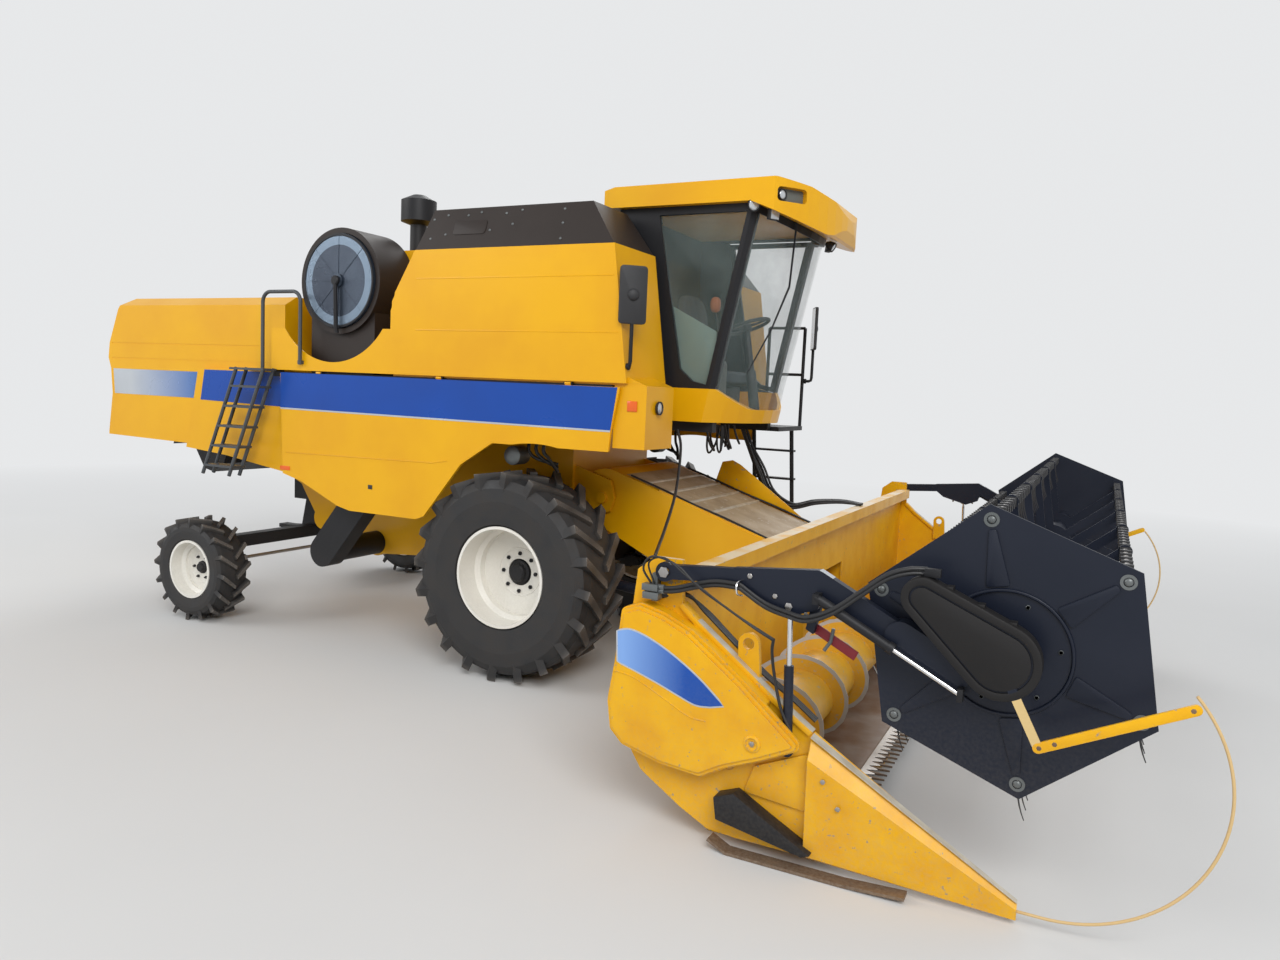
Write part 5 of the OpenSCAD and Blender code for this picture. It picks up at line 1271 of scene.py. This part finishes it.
def makeFloor(look):
    material, tree, shader, place = startMaterial("paleFloor")
    mottle = noise(tree, place, 0.6, 4.0)
    lighter = tuple(1.05 * c for c in look["floor"])
    setInputs(tree, shader, Base_Color=mixColours(tree, mottle, look["floor"], lighter), Roughness=0.9)
    away = ranged(tree, worked(tree, "LENGTH", place), look["fadeFrom"], look["fadeTo"])
    mixShaders(tree, away, shader, addNode(tree, "Emission", Color=look["backdrop"]), "Material Output")
    floor = bpy.data.objects.new("studioFloor", bpy.data.meshes.new("studioFloor"))
    reach = look["reach"]
    corners = [(-reach, -reach, -0.001), (reach, -reach, -0.001), (reach, reach, -0.001), (-reach, reach, -0.001)]
    floor.data.from_pydata(corners, [], [(0, 1, 2, 3)])
    floor.data.materials.append(material)
    bpy.context.scene.collection.objects.link(floor)
    floor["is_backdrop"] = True


def makeSky(look):
    # Camera, glossy and transmission rays see the backdrop; the rest get the sky's light
    world = bpy.data.worlds.new("studioWorld")
    bpy.context.scene.world = world
    world.use_nodes = True
    tree = world.node_tree
    light = tree.nodes["Background"]
    setInputs(tree, light, Color=look["sky"], Strength=look["skyLevel"])
    path = addNode(tree, "LightPath").outputs
    seen = worked(tree, "MAXIMUM", path["Is Camera Ray"], path["Is Glossy Ray"], kind="Math")
    seen = worked(tree, "MAXIMUM", seen, path["Is Transmission Ray"], kind="Math")
    mixShaders(tree, seen, light, addNode(tree, "Background", Color=look["backdrop"]), "World Output")


def makeLamp(name, place, target, size, power):
    light = bpy.data.lights.new(name, "AREA")
    light.shape = "RECTANGLE"
    light.size, light.size_y = size
    light.energy = power
    lamp = bpy.data.objects.new(name, light)
    lamp.location = Vector(place) + axle
    lamp.rotation_euler = (Vector(target) - Vector(place)).to_track_quat("-Z", "Y").to_euler()
    lamp.visible_camera = False
    bpy.context.scene.collection.objects.link(lamp)


makeFloor(studio)
makeSky(studio)
makeLamp("keyLight", (11, -16, 14), (0, -1, 1), (12, 10), 3100)
makeLamp("fillLight", (-15, -12, 10), (-2, 0, 1.5), (12, 8), 1150)
makeLamp("backLight", (-5, 17, 15), (0, 0, 1), (14, 10), 1800)
bpy.context.scene.view_settings.view_transform = "Standard"
print("stage set", pieceCount, "pieces")

low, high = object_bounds()
